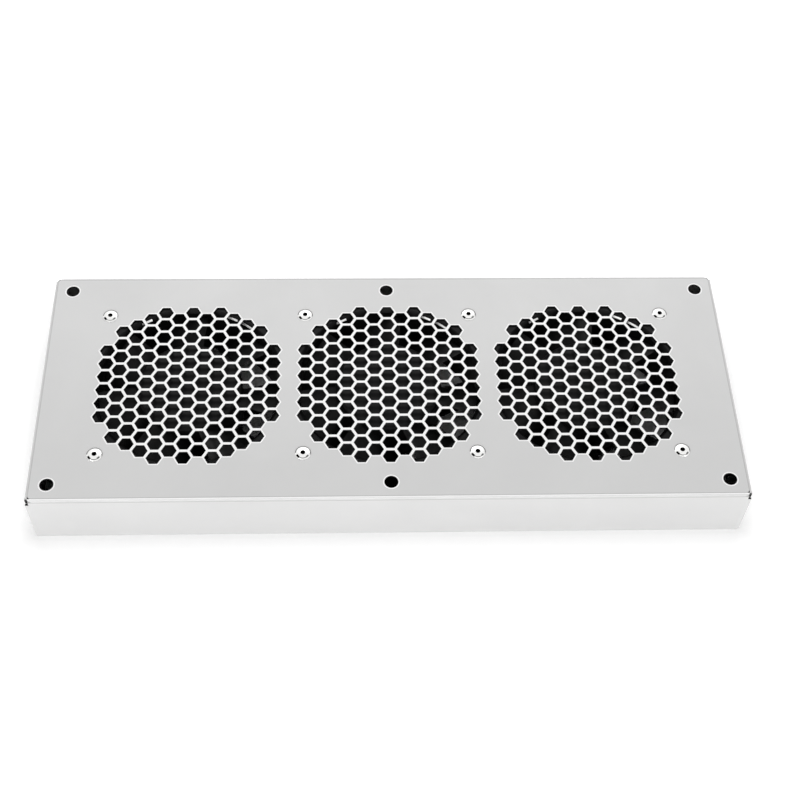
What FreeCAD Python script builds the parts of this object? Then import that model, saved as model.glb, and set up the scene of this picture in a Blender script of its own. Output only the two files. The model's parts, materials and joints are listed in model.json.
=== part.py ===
import FreeCAD, Part
import math
import os
from types import SimpleNamespace

import Sketcher

# Rack fan tray: a bent sheet pan with three hexagonal grilles, three 120 mm axial fans
# blind-riveted under it, and the fan leads running to a junction box inside one end.
# Millimetres. Origin under the centre of the tray, on the plane its flanges stand on.
# X runs along the tray, Y to the rear, Z up through the grilles.

# Driving dimensions. Each one is a cell of the sheet "sizes".

DRIVING_SIZES = {
    # Pan
    "tray_length": 429.0,
    "tray_depth": 168.5,
    "tray_height": 41.0,
    "sheet_gauge": 1.2,
    "bend_inside": 1.2,
    "relief_depth": 5.5,
    "seam_gap": 0.4,
    "lip_corner": 2.0,
    "mount_hole": 8.0,
    "mount_span": 405.0,
    "mount_row_gap": 146.0,
    # Grilles
    "hex_flats": 8.0,
    "hex_pitch": 10.0,
    "grille_reach": 60.0,
    # Fan housings
    "fan_pitch": 124.0,
    "fan_width": 120.0,
    "fan_thick": 38.0,
    "fan_flange": 4.5,
    "fan_corner": 6.0,
    "fan_bore": 114.0,
    "fan_mouth": 2.4,
    "barrel_wall": 2.4,
    "fan_hole_gap": 105.0,
    "fan_hole": 5.0,
    "base_size": 64.0,
    "base_thick": 3.5,
    "strut_count": 4,
    "strut_width": 6.0,
    "strut_lean": 26.0,
    "tube_outside": 17.0,
    "tube_top": 9.0,
    "bearing_outside": 12.0,
    "bearing_top": 10.0,
    "bearing_length": 20.0,
    "cap_size": 20.0,
    "cap_thick": 1.2,
    # Rotors
    "hub_size": 66.0,
    "hub_drop": 2.5,
    "hub_length": 28.0,
    "hub_wall": 2.0,
    "hub_edge": 2.5,
    "boss_size": 11.0,
    "boss_length": 3.0,
    "blade_count": 7,
    "tip_gap": 1.2,
    "root_chord": 37.0,
    "tip_chord": 53.0,
    "root_pitch": 42.0,
    "tip_pitch": 26.0,
    "blade_camber": 3.6,
    "blade_thick": 2.0,
    "blade_edge": 0.9,
    "blade_bury": 6.0,
    "blade_excess": 3.0,
    "shaft_size": 5.0,
    "shaft_length": 29.0,
    "clip_size": 9.0,
    "clip_thick": 0.6,
    # Motors
    "rotor_wall": 4.0,
    "rotor_length": 18.0,
    "core_length": 14.0,
    "air_gap": 0.4,
    "slot_count": 4,
    "slot_width": 9.0,
    "slot_inner": 12.0,
    "slot_outer": 23.0,
    "end_turn": 3.4,
    # Fan terminals and plugs
    "insert_place": -41.0,
    "insert_width": 15.0,
    "insert_height": 10.0,
    "insert_face": 52.5,
    "tab_width": 2.8,
    "tab_thick": 0.5,
    "tab_gap": 7.0,
    "tab_length": 6.0,
    "plug_width": 14.0,
    "plug_height": 9.0,
    "plug_reach": 14.0,
    "plug_round": 1.5,
    # Leads and ties
    "lead_size": 4.0,
    "lead_lane": 3.4,
    "lead_bend": 12.0,
    "tie_width": 2.5,
    "tie_thick": 0.8,
    "tie_round": 1.2,
    "tie_head": 4.2,
    "tie_head_thick": 3.4,
    # Junction box
    "box_length": 32.0,
    "box_depth": 20.0,
    "box_height": 20.0,
    "box_wall": 1.8,
    "post_wall": 1.1,
    "box_round": 2.0,
    "box_level": 4.5,
    "lid_thick": 1.8,
    "lid_screw": 2.5,
    "lid_screw_head": 4.5,
    "lid_screw_head_thick": 1.5,
    "lid_screw_length": 8.0,
    "box_stud": 3.0,
    "box_stud_gap": 12.0,
    "box_nut_flats": 5.5,
    "box_nut_thick": 2.4,
    "bush_bore": 6.0,
    "bush_wall": 1.3,
    "bush_lip": 1.2,
    # Earth point
    "earth_place": -46.0,
    "earth_level": 8.0,
    "earth_stud": 4.0,
    "earth_stud_length": 12.0,
    "earth_washer": 9.0,
    "earth_nut_flats": 7.0,
    "earth_nut_thick": 3.2,
    "tag_eye": 8.0,
    "tag_thick": 0.8,
    "tag_reach": 14.0,
    "tag_barrel": 4.0,
    "earth_lead_size": 2.6,
    # Blind rivets
    "rivet_head": 9.5,
    "rivet_dome": 1.4,
    "rivet_rim": 0.35,
    "rivet_shank": 4.8,
    "mandrel_size": 2.8,
    "mandrel_sink": 3.2,
    "rivet_bulb": 7.2,
    "bulb_length": 3.6,
    # Working clearances
    "running_gap": 0.05,
    "seat_gap": 0.1,
    "free_gap": 0.3,
}

# How far a cut runs on outside the solid that it shapes.
OVERSHOOT = 1.0

FANS = (("left", -1), ("middle", 0), ("right", 1))
CORNERS = ((-1, -1), (1, -1), (1, 1), (-1, 1))


class Term:
    """A size kept both as a number and as the sheet formula that gives it."""

    def __init__(self, value, formula):
        self.value = value
        self.formula = formula

    def __add__(self, other):
        other = term(other)
        return Term(self.value + other.value, f"({self.formula} + {other.formula})")

    def __sub__(self, other):
        other = term(other)
        return Term(self.value - other.value, f"({self.formula} - {other.formula})")

    def __rsub__(self, other):
        return term(other) - self

    def __mul__(self, other):
        other = term(other)
        return Term(self.value * other.value, f"({self.formula} * {other.formula})")

    def __truediv__(self, other):
        other = term(other)
        return Term(self.value / other.value, f"({self.formula} / {other.formula})")

    def __neg__(self):
        return Term(-self.value, f"(0 - {self.formula})")

    __radd__ = __add__
    __rmul__ = __mul__


def term(item):
    if isinstance(item, Term):
        return item
    return Term(float(item), f"({float(item)})")


# Document and sheet

doc = FreeCAD.newDocument("rack_fan_tray")
sheet = doc.addObject("Spreadsheet::Sheet", "sizes")
for row, (alias, number) in enumerate(DRIVING_SIZES.items(), 1):
    sheet.set(f"A{row}", alias.replace("_", " "))
    sheet.set(f"B{row}", str(number))
    sheet.setAlias(f"B{row}", alias)
doc.recompute()

S = SimpleNamespace(
    **{alias: Term(float(getattr(sheet, alias)), f"sizes.{alias}") for alias in DRIVING_SIZES}
)
nodes = []

# Places worked out from the driving dimensions

bend_outside = S.bend_inside + S.sheet_gauge
plate_under = S.tray_height - S.sheet_gauge
inner_length = S.tray_length / 2 - S.sheet_gauge
inner_depth = S.tray_depth / 2 - S.sheet_gauge
fan_half = S.fan_width / 2
fan_hole_place = S.fan_hole_gap / 2
bore_radius = S.fan_bore / 2
barrel_radius = bore_radius + S.barrel_wall
hub_radius = S.hub_size / 2
hub_bottom = S.hub_drop + S.hub_length
cup_radius = hub_radius - S.hub_wall
cup_roof = S.hub_drop + S.hub_wall
bearing_radius = S.bearing_outside / 2
bearing_bottom = S.bearing_top + S.bearing_length
tube_radius = S.tube_outside / 2
shaft_radius = S.shaft_size / 2
shaft_bottom = cup_roof + S.shaft_length
rotor_inner = cup_radius - S.running_gap - S.rotor_wall
core_radius = rotor_inner - S.air_gap
core_top = (S.tube_top + bearing_bottom) / 2 - S.core_length / 2
core_bottom = core_top + S.core_length
lane_place = fan_half + S.lead_lane
insert_depth = S.fan_thick - S.fan_flange - S.insert_height / 2
lane_level = plate_under - insert_depth
box_inner_x = inner_length - S.box_depth
box_middle_x = inner_length - S.box_depth / 2
box_middle_level = S.box_level + S.box_height / 2
bush_radius = S.bush_bore / 2 + S.bush_wall
bush_place = box_middle_x + S.bush_lip
earth_entry = inner_length - S.box_wall - S.earth_lead_size
rivet_grip = S.sheet_gauge + S.fan_flange


# Modelling helpers

def vector(x=0, y=0, z=0):
    return FreeCAD.Vector(term(x).value, term(y).value, term(z).value)


def bind(item, prop, size):
    """Ties a property to the sheet through a size's formula."""
    item.setExpression(prop, term(size).formula)


def place(item, x=0, y=0, z=0):
    """Puts a body or solid at a place that follows the sheet."""
    item.Placement = FreeCAD.Placement(vector(x, y, z), FreeCAD.Rotation())
    for axis, size in (("x", x), ("y", y), ("z", z)):
        if isinstance(size, Term):
            bind(item, f"Placement.Base.{axis}", size)


def new_body(name, x=0, y=0, z=0, keep=True):
    body = doc.addObject("PartDesign::Body", name)
    body.Label = name
    place(body, x, y, z)
    if keep:
        nodes.append(body)
    return body


def origin_item(body, role):
    return next(item for item in body.Origin.OriginFeatures if item.Role == role)


def new_sketch(body, name, plane="XY_Plane", offset=0, shift=0):
    """A sketch on one of the body's own planes, moved along its normal and along its first axis."""
    sketch = body.newObject("Sketcher::SketchObject", name)
    sketch.AttachmentSupport = [(origin_item(body, plane), "")]
    sketch.MapMode = "FlatFace"
    bind(sketch, "AttachmentOffset.Base.z", offset)
    bind(sketch, "AttachmentOffset.Base.x", shift)
    return sketch


def pin_down(sketch, geometry, point, x, y):
    """Fixes one point of a sketch at sheet-driven distances from the sketch's origin."""
    for kind, size in (("DistanceX", x), ("DistanceY", y)):
        size = term(size)
        index = sketch.addConstraint(
            Sketcher.Constraint(kind, -1, 1, geometry, point, size.value)
        )
        sketch.setExpression(f"Constraints[{index}]", size.formula)


def outline(sketch, points):
    """A closed outline of straight lines, every corner driven by the sheet."""
    first = sketch.GeometryCount
    count = len(points)
    for index in range(count):
        start, end = points[index], points[(index + 1) % count]
        sketch.addGeometry(Part.LineSegment(vector(*start), vector(*end)), False)
    for index in range(count):
        following = first + (index + 1) % count
        sketch.addConstraint(Sketcher.Constraint("Coincident", first + index, 2, following, 1))
    for index, (x, y) in enumerate(points):
        pin_down(sketch, first + index, 1, x, y)


def rectangle(sketch, low_x, high_x, low_y, high_y):
    outline(sketch, [(low_x, low_y), (high_x, low_y), (high_x, high_y), (low_x, high_y)])


def circle(sketch, radius, x=0, y=0):
    index = sketch.addGeometry(
        Part.Circle(vector(x, y), FreeCAD.Vector(0, 0, 1), term(radius).value), False
    )
    pin_down(sketch, index, 3, x, y)
    number = sketch.addConstraint(Sketcher.Constraint("Radius", index, term(radius).value))
    sketch.setExpression(f"Constraints[{number}]", term(radius).formula)


def prism(kind, body, name, sketch, length, upward, through=False, refine=True):
    """A pad or a pocket of a sketch, running up or down its normal."""
    feature = body.newObject(f"PartDesign::{kind}", name)
    feature.Profile = sketch
    feature.Refine = refine
    feature.Reversed = upward if kind == "Pocket" else not upward
    if through:
        feature.Type = "ThroughAll"
    else:
        bind(feature, "Length", length)
    doc.recompute()
    return feature


def pad(body, name, sketch, length, upward=True, refine=True):
    return prism("Pad", body, name, sketch, length, upward, refine=refine)


def pocket(body, name, sketch, length, upward=False, refine=True):
    return prism("Pocket", body, name, sketch, length, upward, refine=refine)


def pierce(body, name, sketch, upward=False, refine=True):
    return prism("Pocket", body, name, sketch, 0, upward, through=True, refine=refine)


def turned(kind, body, name, sketch, axis="V_Axis"):
    """A full turn of a sketch, added as a revolution or taken away as a groove."""
    feature = body.newObject(f"PartDesign::{kind}", name)
    feature.Profile = sketch
    feature.ReferenceAxis = (sketch, [axis])
    feature.Angle = 360
    doc.recompute()
    return feature


def polar(body, name, feature, count):
    pattern = body.newObject("PartDesign::PolarPattern", name)
    pattern.Originals = [feature]
    pattern.Axis = (origin_item(body, "Z_Axis"), [""])
    pattern.Angle = 360
    bind(pattern, "Occurrences", count)
    body.Tip = pattern
    doc.recompute()
    return pattern


def middle_of(edge):
    return edge.valueAt((edge.FirstParameter + edge.LastParameter) / 2)


def along(edge, axis):
    """True where an edge is straight and runs along the named axis."""
    if not isinstance(edge.Curve, Part.Line):
        return False
    return abs(getattr(edge.Curve.Direction, axis)) > 0.999


def near(first, second):
    return abs(first - term(second).value) < 1e-4


def dress_edges(kind, body, name, feature, wanted):
    """A fillet or chamfer on the edges of a feature that pass a test of the edge and its middle."""
    edges = [
        f"Edge{index}"
        for index, edge in enumerate(feature.Shape.Edges, 1)
        if wanted(edge, middle_of(edge))
    ]
    dressed = body.newObject(f"PartDesign::{kind}", name)
    dressed.Base = (feature, edges)
    return dressed


def round_off(body, name, feature, radius, wanted):
    fillet = dress_edges("Fillet", body, name, feature, wanted)
    bind(fillet, "Radius", radius)
    doc.recompute()
    return fillet


def bevel_off(body, name, feature, size, wanted):
    chamfer = dress_edges("Chamfer", body, name, feature, wanted)
    bind(chamfer, "Size", size)
    doc.recompute()
    return chamfer


def repeat(name, master, places):
    """One node of separate, identical solids: copies of a master solid."""
    copies = []
    for position in places:
        copy = master.Shape.copy()
        copy.translate(vector(*position))
        copies.append(copy)
    group = doc.addObject("Part::Feature", name)
    group.Label = name
    group.Shape = Part.Compound(copies)
    nodes.append(group)
    return group


def tube(name, points, bend, size):
    """A round lead along straight runs joined by tangent arcs."""
    corners = [vector(*point) for point in points]
    edges = []
    start = corners[0]
    for before, corner, after in zip(corners, corners[1:], corners[2:]):
        arriving = (corner - before).normalize()
        leaving = (after - corner).normalize()
        turn = arriving.getAngle(leaving)
        reach = term(bend).value * math.tan(turn / 2)
        entry, exit_ = corner - arriving * reach, corner + leaving * reach
        inward = (leaving - arriving).normalize()
        sag = term(bend).value * (1 / math.cos(turn / 2) - 1)
        edges.append(Part.LineSegment(start, entry).toShape())
        edges.append(Part.Arc(entry, corner + inward * sag, exit_).toShape())
        start = exit_
    edges.append(Part.LineSegment(start, corners[-1]).toShape())
    path = doc.addObject("Part::Feature", f"{name}_path")
    path.Shape = Part.Wire(edges)
    section = doc.addObject("Part::Circle", f"{name}_section")
    bind(section, "Radius", term(size) / 2)
    heading = (corners[1] - corners[0]).normalize()
    section.Placement = FreeCAD.Placement(
        corners[0], FreeCAD.Rotation(FreeCAD.Vector(0, 0, 1), heading)
    )
    sweep = doc.addObject("Part::Sweep", name)
    sweep.Label = name
    sweep.Sections = [section]
    sweep.Spine = (path, [f"Edge{index}" for index in range(1, len(edges) + 1)])
    sweep.Solid = True
    sweep.Frenet = True
    doc.recompute()
    expected = math.pi * term(size).value ** 2 / 4 * path.Shape.Length
    if abs(sweep.Shape.Volume / expected - 1) > 0.01:
        raise RuntimeError(f"{name} isn't as full as its section times its length")
    nodes.append(sweep)
    return sweep


# Pan

def hexagon(x, y, across_flats):
    """Six sides of a hexagon that has two flats along X."""
    radius = across_flats / 2 / math.cos(math.pi / 6)
    corners = [
        FreeCAD.Vector(x + radius * math.cos(turn), y + radius * math.sin(turn), 0)
        for turn in (math.pi / 3 * side for side in range(6))
    ]
    return [Part.LineSegment(corners[side], corners[(side + 1) % 6]) for side in range(6)]


def draw_grille(sketch):
    """Hexagons in staggered columns, as far as their centres stay inside the grille's circle."""
    pitch, reach = S.hex_pitch.value, S.grille_reach.value
    column_gap = pitch * math.cos(math.pi / 6)
    columns = int(reach / column_gap)
    rows = int(reach / pitch) + 1
    for column in range(-columns, columns + 1):
        stagger = 0.5 if column % 2 == 0 else 0.0
        for row in range(-rows, rows + 1):
            x, y = column * column_gap, (row + stagger) * pitch
            if math.hypot(x, y) <= reach:
                sketch.addGeometry(hexagon(x, y, S.hex_flats.value), False)


def rivet_places():
    """The outer fans are held at their outer corners only, the middle fan at all four."""
    places = []
    for side in (-1, 1):
        for back in (-1, 1):
            places.append((side * (S.fan_pitch + fan_hole_place), back * fan_hole_place))
            places.append((side * fan_hole_place, back * fan_hole_place))
    return places


def build_pan():
    body = new_body("tray_shell")
    half_length, half_depth = S.tray_length / 2, S.tray_depth / 2

    blank = new_sketch(body, "pan_outline")
    rectangle(blank, -half_length, half_length, -half_depth, half_depth)
    block = pad(body, "pan_block", blank, S.tray_height)
    bends = round_off(
        body, "outside_bends", block, bend_outside,
        lambda edge, middle: near(middle.z, S.tray_height),
    )

    hollow = new_sketch(body, "pan_inside")
    rectangle(hollow, -inner_length, inner_length, -inner_depth, inner_depth)
    opened = pocket(body, "pan_hollow", hollow, plate_under, upward=True)
    round_off(
        body, "inside_bends", opened, S.bend_inside,
        lambda edge, middle: near(middle.z, plate_under) and near(edge.BoundBox.ZLength, 0),
    )

    # Where two bends meet, a square of the sheet is cut away as far as the relief depth.
    relief = new_sketch(body, "relief_outline", offset=S.tray_height)
    for x, y in CORNERS:
        outline(relief, [
            (x * half_length, y * half_depth),
            (x * (half_length - bend_outside), y * half_depth),
            (x * (half_length - bend_outside), y * (half_depth - bend_outside)),
            (x * half_length, y * (half_depth - bend_outside)),
        ])
    pocket(body, "corner_relief", relief, S.relief_depth)

    # The end flanges butt behind the long ones with an open seam.
    seam = new_sketch(body, "seam_outline")
    for x, y in CORNERS:
        outline(seam, [
            (x * inner_length, y * inner_depth),
            (x * half_length, y * inner_depth),
            (x * half_length, y * (inner_depth - S.seam_gap)),
            (x * inner_length, y * (inner_depth - S.seam_gap)),
        ])
    seamed = pocket(
        body, "corner_seams", seam, S.tray_height - S.relief_depth, upward=True
    )

    def lip_end(edge, middle):
        at_long = along(edge, "y") and near(abs(middle.x), half_length)
        at_end = along(edge, "x") and near(abs(middle.y), inner_depth - S.seam_gap)
        return near(middle.z, 0) and edge.Length < 2 * S.sheet_gauge.value and (at_long or at_end)

    round_off(body, "lip_corners", seamed, S.lip_corner, lip_end)

    # The perforated middle of the plate is one bay repeated for each fan. Each bay fills its
    # share of a window, because a bay drawn with its holes is quick to make and to copy.
    bay_half = S.grille_reach + S.hex_pitch / 2 + S.sheet_gauge
    window = new_sketch(body, "window_outline", offset=S.tray_height)
    span = S.fan_pitch * len(FANS) / 2
    rectangle(window, -span, span, -bay_half, bay_half)
    pocket(body, "grille_window", window, S.sheet_gauge, refine=False)
    grille = new_sketch(body, "bay_outline", offset=S.tray_height, shift=-S.fan_pitch)
    rectangle(grille, -S.fan_pitch / 2, S.fan_pitch / 2, -bay_half, bay_half)
    draw_grille(grille)
    bay = pad(body, "grille_bay", grille, S.sheet_gauge, upward=False, refine=False)
    row = body.newObject("PartDesign::LinearPattern", "grille_row")
    row.Originals = [bay]
    row.Direction = (origin_item(body, "X_Axis"), [""])
    bind(row, "Length", 2 * S.fan_pitch)
    row.Occurrences = len(FANS)
    row.Refine = False
    body.Tip = row
    doc.recompute()

    holes = new_sketch(body, "plate_holes", offset=S.tray_height)
    for x in (-1, 0, 1):
        for y in (-1, 1):
            circle(
                holes, S.mount_hole / 2,
                x * S.mount_span / 2, y * S.mount_row_gap / 2,
            )
    for x, y in rivet_places():
        circle(holes, S.rivet_shank / 2 + S.seat_gap, x, y)
    pierce(body, "plate_piercing", holes, refine=False)


# Fan housing

def build_housing(side, x):
    body = new_body(f"{side}_fan_housing", x, 0, plate_under)

    def square(name, level):
        sketch = new_sketch(body, name, offset=level)
        rectangle(sketch, -fan_half, fan_half, -fan_half, fan_half)
        return sketch

    pad(body, "upper_flange", square("upper_square", 0), S.fan_flange, upward=False)
    barrel = new_sketch(body, "barrel_circle")
    circle(barrel, barrel_radius)
    pad(body, "barrel", barrel, S.fan_thick, upward=False)
    lower = pad(body, "lower_flange", square("lower_square", -S.fan_thick), S.fan_flange)
    cornered = round_off(
        body, "flange_corners", lower, S.fan_corner,
        lambda edge, middle: along(edge, "z") and near(abs(middle.x), fan_half)
        and near(abs(middle.y), fan_half),
    )

    bore = new_sketch(body, "bore_circle")
    circle(bore, bore_radius)
    bored = pierce(body, "bore", bore)
    bevel_off(
        body, "intake_mouth", bored, S.fan_mouth,
        lambda edge, middle: near(middle.z, 0) and near(math.hypot(middle.x, middle.y), bore_radius),
    )

    holes = new_sketch(body, "corner_holes")
    for right, back in CORNERS:
        circle(holes, S.fan_hole / 2, right * fan_hole_place, back * fan_hole_place)
    pierce(body, "corner_piercing", holes)

    base = new_sketch(body, "base_circle", offset=-S.fan_thick)
    circle(base, S.base_size / 2)
    pad(body, "motor_base", base, S.base_thick)

    # Each strut leans away from the radius, from the motor base to the barrel's wall.
    strut = new_sketch(body, "strut_outline", offset=-S.fan_thick)
    half = S.strut_width / 2
    inner, outer = S.base_size / 2 - half, bore_radius + S.barrel_wall / 2
    shift = (outer - inner) * math.tan(math.radians(S.strut_lean.value))
    outline(strut, [(inner, -half), (outer, shift - half), (outer, shift + half), (inner, half)])
    strut_pad = pad(body, "strut", strut, S.base_thick)
    polar(body, "struts", strut_pad, S.strut_count)

    tube_ring = new_sketch(body, "tube_circle", offset=-S.fan_thick)
    circle(tube_ring, tube_radius)
    pad(body, "bearing_tube", tube_ring, S.fan_thick - S.tube_top)
    seat = new_sketch(body, "bearing_seat", plane="XZ_Plane")
    clip_room = S.clip_size / 2 + S.free_gap
    cap_radius = S.cap_size / 2 + S.seat_gap
    outline(seat, [
        (0, OVERSHOOT - S.tube_top),
        (bearing_radius + S.running_gap, OVERSHOOT - S.tube_top),
        (bearing_radius + S.running_gap, -bearing_bottom),
        (clip_room, -bearing_bottom),
        (clip_room, S.cap_thick - S.fan_thick),
        (cap_radius, S.cap_thick - S.fan_thick),
        (cap_radius, -S.fan_thick - OVERSHOOT),
        (0, -S.fan_thick - OVERSHOOT),
    ])
    turned("Groove", body, "bearing_bore", seat)


# Impeller and the pieces that turn with it

def blade_section(body, name, distance, chord, pitch, thick):
    """A cambered blade section on a plane square to the blade, at a distance from the axis."""
    sketch = new_sketch(body, name, plane="YZ_Plane", offset=distance)
    lean = math.radians(pitch)
    run = FreeCAD.Vector(math.cos(lean), -math.sin(lean), 0)
    lift = FreeCAD.Vector(math.sin(lean), math.cos(lean), 0)
    middle = FreeCAD.Vector(0, -(S.hub_drop.value + S.hub_length.value / 2), 0)
    half_edge = lift * (S.blade_edge.value / 2)
    front, rear = middle - run * (chord / 2), middle + run * (chord / 2)
    upper = middle + lift * (S.blade_camber.value + thick / 2)
    lower = middle + lift * (S.blade_camber.value - thick / 2)
    sketch.addGeometry([
        Part.LineSegment(front - half_edge, front + half_edge),
        Part.Arc(front + half_edge, upper, rear + half_edge),
        Part.LineSegment(rear + half_edge, rear - half_edge),
        Part.Arc(rear - half_edge, lower, front - half_edge),
    ], False)
    return sketch


def build_impeller(side, x):
    body = new_body(f"{side}_impeller", x, 0, plate_under)
    tip_radius = bore_radius - S.tip_gap

    hub = new_sketch(body, "hub_circle", offset=-S.hub_drop)
    circle(hub, hub_radius)
    hub_pad = pad(body, "hub", hub, S.hub_length, upward=False)
    bevel_off(
        body, "hub_edge", hub_pad, S.hub_edge,
        lambda edge, middle: near(middle.z, -S.hub_drop) and not along(edge, "z"),
    )

    # The blade is lofted from inside the hub's wall to beyond its tip, then trimmed round.
    sections = []
    root, tip = hub_radius - S.blade_bury, tip_radius + S.blade_excess
    for number, share in enumerate((0, 0.5, 1)):
        sections.append(blade_section(
            body, f"blade_section_{number + 1}",
            root + (tip - root) * share,
            S.root_chord.value + (S.tip_chord.value - S.root_chord.value) * share,
            S.root_pitch.value + (S.tip_pitch.value - S.root_pitch.value) * share,
            S.blade_thick.value,
        ))
    doc.recompute()
    blade = body.newObject("PartDesign::AdditiveLoft", "blade")
    blade.Profile = sections[0]
    blade.Sections = sections[1:]
    blade.Ruled = True
    doc.recompute()
    polar(body, "blades", blade, S.blade_count)

    trim = new_sketch(body, "tip_trim", plane="XZ_Plane")
    rectangle(trim, -tip_radius - S.tip_chord / 2, -tip_radius, -S.fan_thick, 0)
    turned("Groove", body, "tip_circle", trim)

    cup = new_sketch(body, "cup_profile", plane="XZ_Plane")
    boss_bottom = cup_roof + S.boss_length
    outline(cup, [
        (S.boss_size / 2, -cup_roof),
        (cup_radius, -cup_roof),
        (cup_radius, -hub_bottom - OVERSHOOT),
        (0, -hub_bottom - OVERSHOOT),
        (0, -boss_bottom),
        (S.boss_size / 2, -boss_bottom),
    ])
    turned("Groove", body, "hub_cup", cup)

    bore = new_sketch(body, "shaft_seat", offset=-cup_roof)
    circle(bore, shaft_radius + S.running_gap)
    pocket(body, "shaft_bore", bore, S.boss_length + OVERSHOOT)


def ring_body(name, x, outer, inner, top, length):
    """A plain ring about a fan's axis, hung at a depth below the plate."""
    body = new_body(name, x, 0, plate_under)
    sketch = new_sketch(body, f"{name}_circles", offset=-top)
    circle(sketch, outer)
    circle(sketch, inner)
    pad(body, f"{name}_ring", sketch, length, upward=False)
    return body


def build_turning_parts(side, x):
    ring_body(
        f"{side}_rotor_ring", x, cup_radius - S.running_gap, rotor_inner,
        core_top - (S.rotor_length - S.core_length) / 2, S.rotor_length,
    )

    shaft = new_body(f"{side}_shaft", x, 0, plate_under)
    profile = new_sketch(shaft, "shaft_profile", plane="XZ_Plane")
    groove_top = bearing_bottom + S.free_gap
    groove_bottom = groove_top + S.clip_thick + 2 * S.running_gap
    neck = shaft_radius - S.clip_thick
    outline(profile, [
        (0, -cup_roof),
        (shaft_radius, -cup_roof),
        (shaft_radius, -groove_top),
        (neck, -groove_top),
        (neck, -groove_bottom),
        (shaft_radius, -groove_bottom),
        (shaft_radius, -shaft_bottom),
        (0, -shaft_bottom),
    ])
    turned("Revolution", shaft, "shaft_turned", profile)

    ring_body(
        f"{side}_shaft_clip", x, S.clip_size / 2, neck + S.running_gap,
        groove_top + S.running_gap, S.clip_thick,
    )


# Motor pieces that stand still

def slot_outline(sketch, inset):
    half = S.slot_width / 2 - inset
    rectangle(sketch, S.slot_inner + inset, S.slot_outer - inset, -half, half)


def build_motor(side, x):
    ring_body(
        f"{side}_bearing", x, bearing_radius, shaft_radius + S.running_gap,
        S.bearing_top, S.bearing_length,
    )

    core = ring_body(
        f"{side}_stator_core", x, core_radius, tube_radius + S.running_gap,
        core_top, S.core_length,
    )
    slot = new_sketch(core, "slot_outline", offset=-core_top)
    slot_outline(slot, 0)
    slot_cut = pocket(core, "slot", slot, S.core_length)
    polar(core, "slots", slot_cut, S.slot_count)

    winding = new_body(f"{side}_windings", x, 0, plate_under)
    top = core_top - S.free_gap - S.end_turn
    length = S.core_length + 2 * (S.free_gap + S.end_turn)
    coil = new_sketch(winding, "coil_outline", offset=-top)
    slot_outline(coil, S.free_gap)
    coil_pad = pad(winding, "coil_side", coil, length, upward=False)
    polar(winding, "coil_sides", coil_pad, S.slot_count)
    for name, level in (("upper_turns", top), ("lower_turns", core_bottom + S.free_gap)):
        turns = new_sketch(winding, f"{name}_circles", offset=-level)
        circle(turns, S.slot_outer - S.free_gap)
        circle(turns, S.slot_inner + S.free_gap)
        pad(winding, name, turns, S.end_turn, upward=False)

    cap = new_body(f"{side}_motor_cap", x, 0, plate_under)
    disc = new_sketch(cap, "cap_circle", offset=-S.fan_thick)
    circle(disc, S.cap_size / 2)
    pad(cap, "cap_disc", disc, S.cap_thick)


# Fan terminals, plugs and leads

def build_terminals(side, x):
    insert = new_body(f"{side}_terminal_insert", x, 0, plate_under)
    half = S.insert_width / 2
    sketch = new_sketch(insert, "insert_outline", offset=-(insert_depth - S.insert_height / 2))
    rectangle(sketch, S.insert_place - half, S.insert_place + half, 0, S.insert_face)
    pad(insert, "insert_block", sketch, S.insert_height, upward=False)
    trim = new_sketch(insert, "barrel_trim")
    circle(trim, barrel_radius + S.seat_gap)
    pierce(insert, "barrel_fit", trim)

    tab = doc.addObject("Part::Box", f"{side}_tab_blank")
    bind(tab, "Length", S.tab_width)
    bind(tab, "Width", S.tab_length)
    bind(tab, "Height", S.tab_thick)
    doc.recompute()
    level = plate_under - insert_depth - S.tab_thick / 2
    repeat(f"{side}_terminal_tabs", tab, [
        (x + S.insert_place + way * S.tab_gap / 2 - S.tab_width / 2, S.insert_face, level)
        for way in (-1, 1)
    ])

    plug = new_body(f"{side}_lead_plug", x, 0, plate_under)
    half = S.plug_width / 2
    back = S.insert_face + S.free_gap
    body = new_sketch(plug, "plug_outline", offset=-(insert_depth - S.plug_height / 2))
    rectangle(body, S.insert_place - half, S.insert_place + half, back, back + S.plug_reach)
    block = pad(plug, "plug_block", body, S.plug_height, upward=False)
    round_off(
        plug, "plug_edges", block, S.plug_round,
        lambda edge, middle: near(middle.y, back + S.plug_reach) and not along(edge, "y"),
    )
    slots = new_sketch(plug, "tab_slots", offset=-(insert_depth - S.tab_thick / 2 - S.seat_gap))
    for way in (-1, 1):
        centre = S.insert_place + way * S.tab_gap / 2
        reach = S.tab_width / 2 + S.seat_gap
        rectangle(
            slots, centre - reach, centre + reach,
            back, S.insert_face + S.tab_length + S.seat_gap,
        )
    pocket(plug, "tab_sockets", slots, S.tab_thick + 2 * S.seat_gap)


def build_leads():
    half = S.plug_width / 2
    for side, start, end in (("left", -1, 0), ("middle", 0, 1)):
        begin = start * S.fan_pitch + S.insert_place + half
        finish = end * S.fan_pitch + S.insert_place - half
        tube(
            f"{side}_lead",
            [(begin, lane_place, lane_level), (finish, lane_place, lane_level)],
            S.lead_bend, S.lead_size,
        )
    tube(
        "right_lead",
        [
            (S.fan_pitch + S.insert_place + half, lane_place, lane_level),
            (box_middle_x, lane_place, lane_level),
            (box_middle_x, S.box_length / 2 - 2 * S.box_wall, lane_level),
        ],
        S.lead_bend, S.lead_size,
    )


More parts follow.
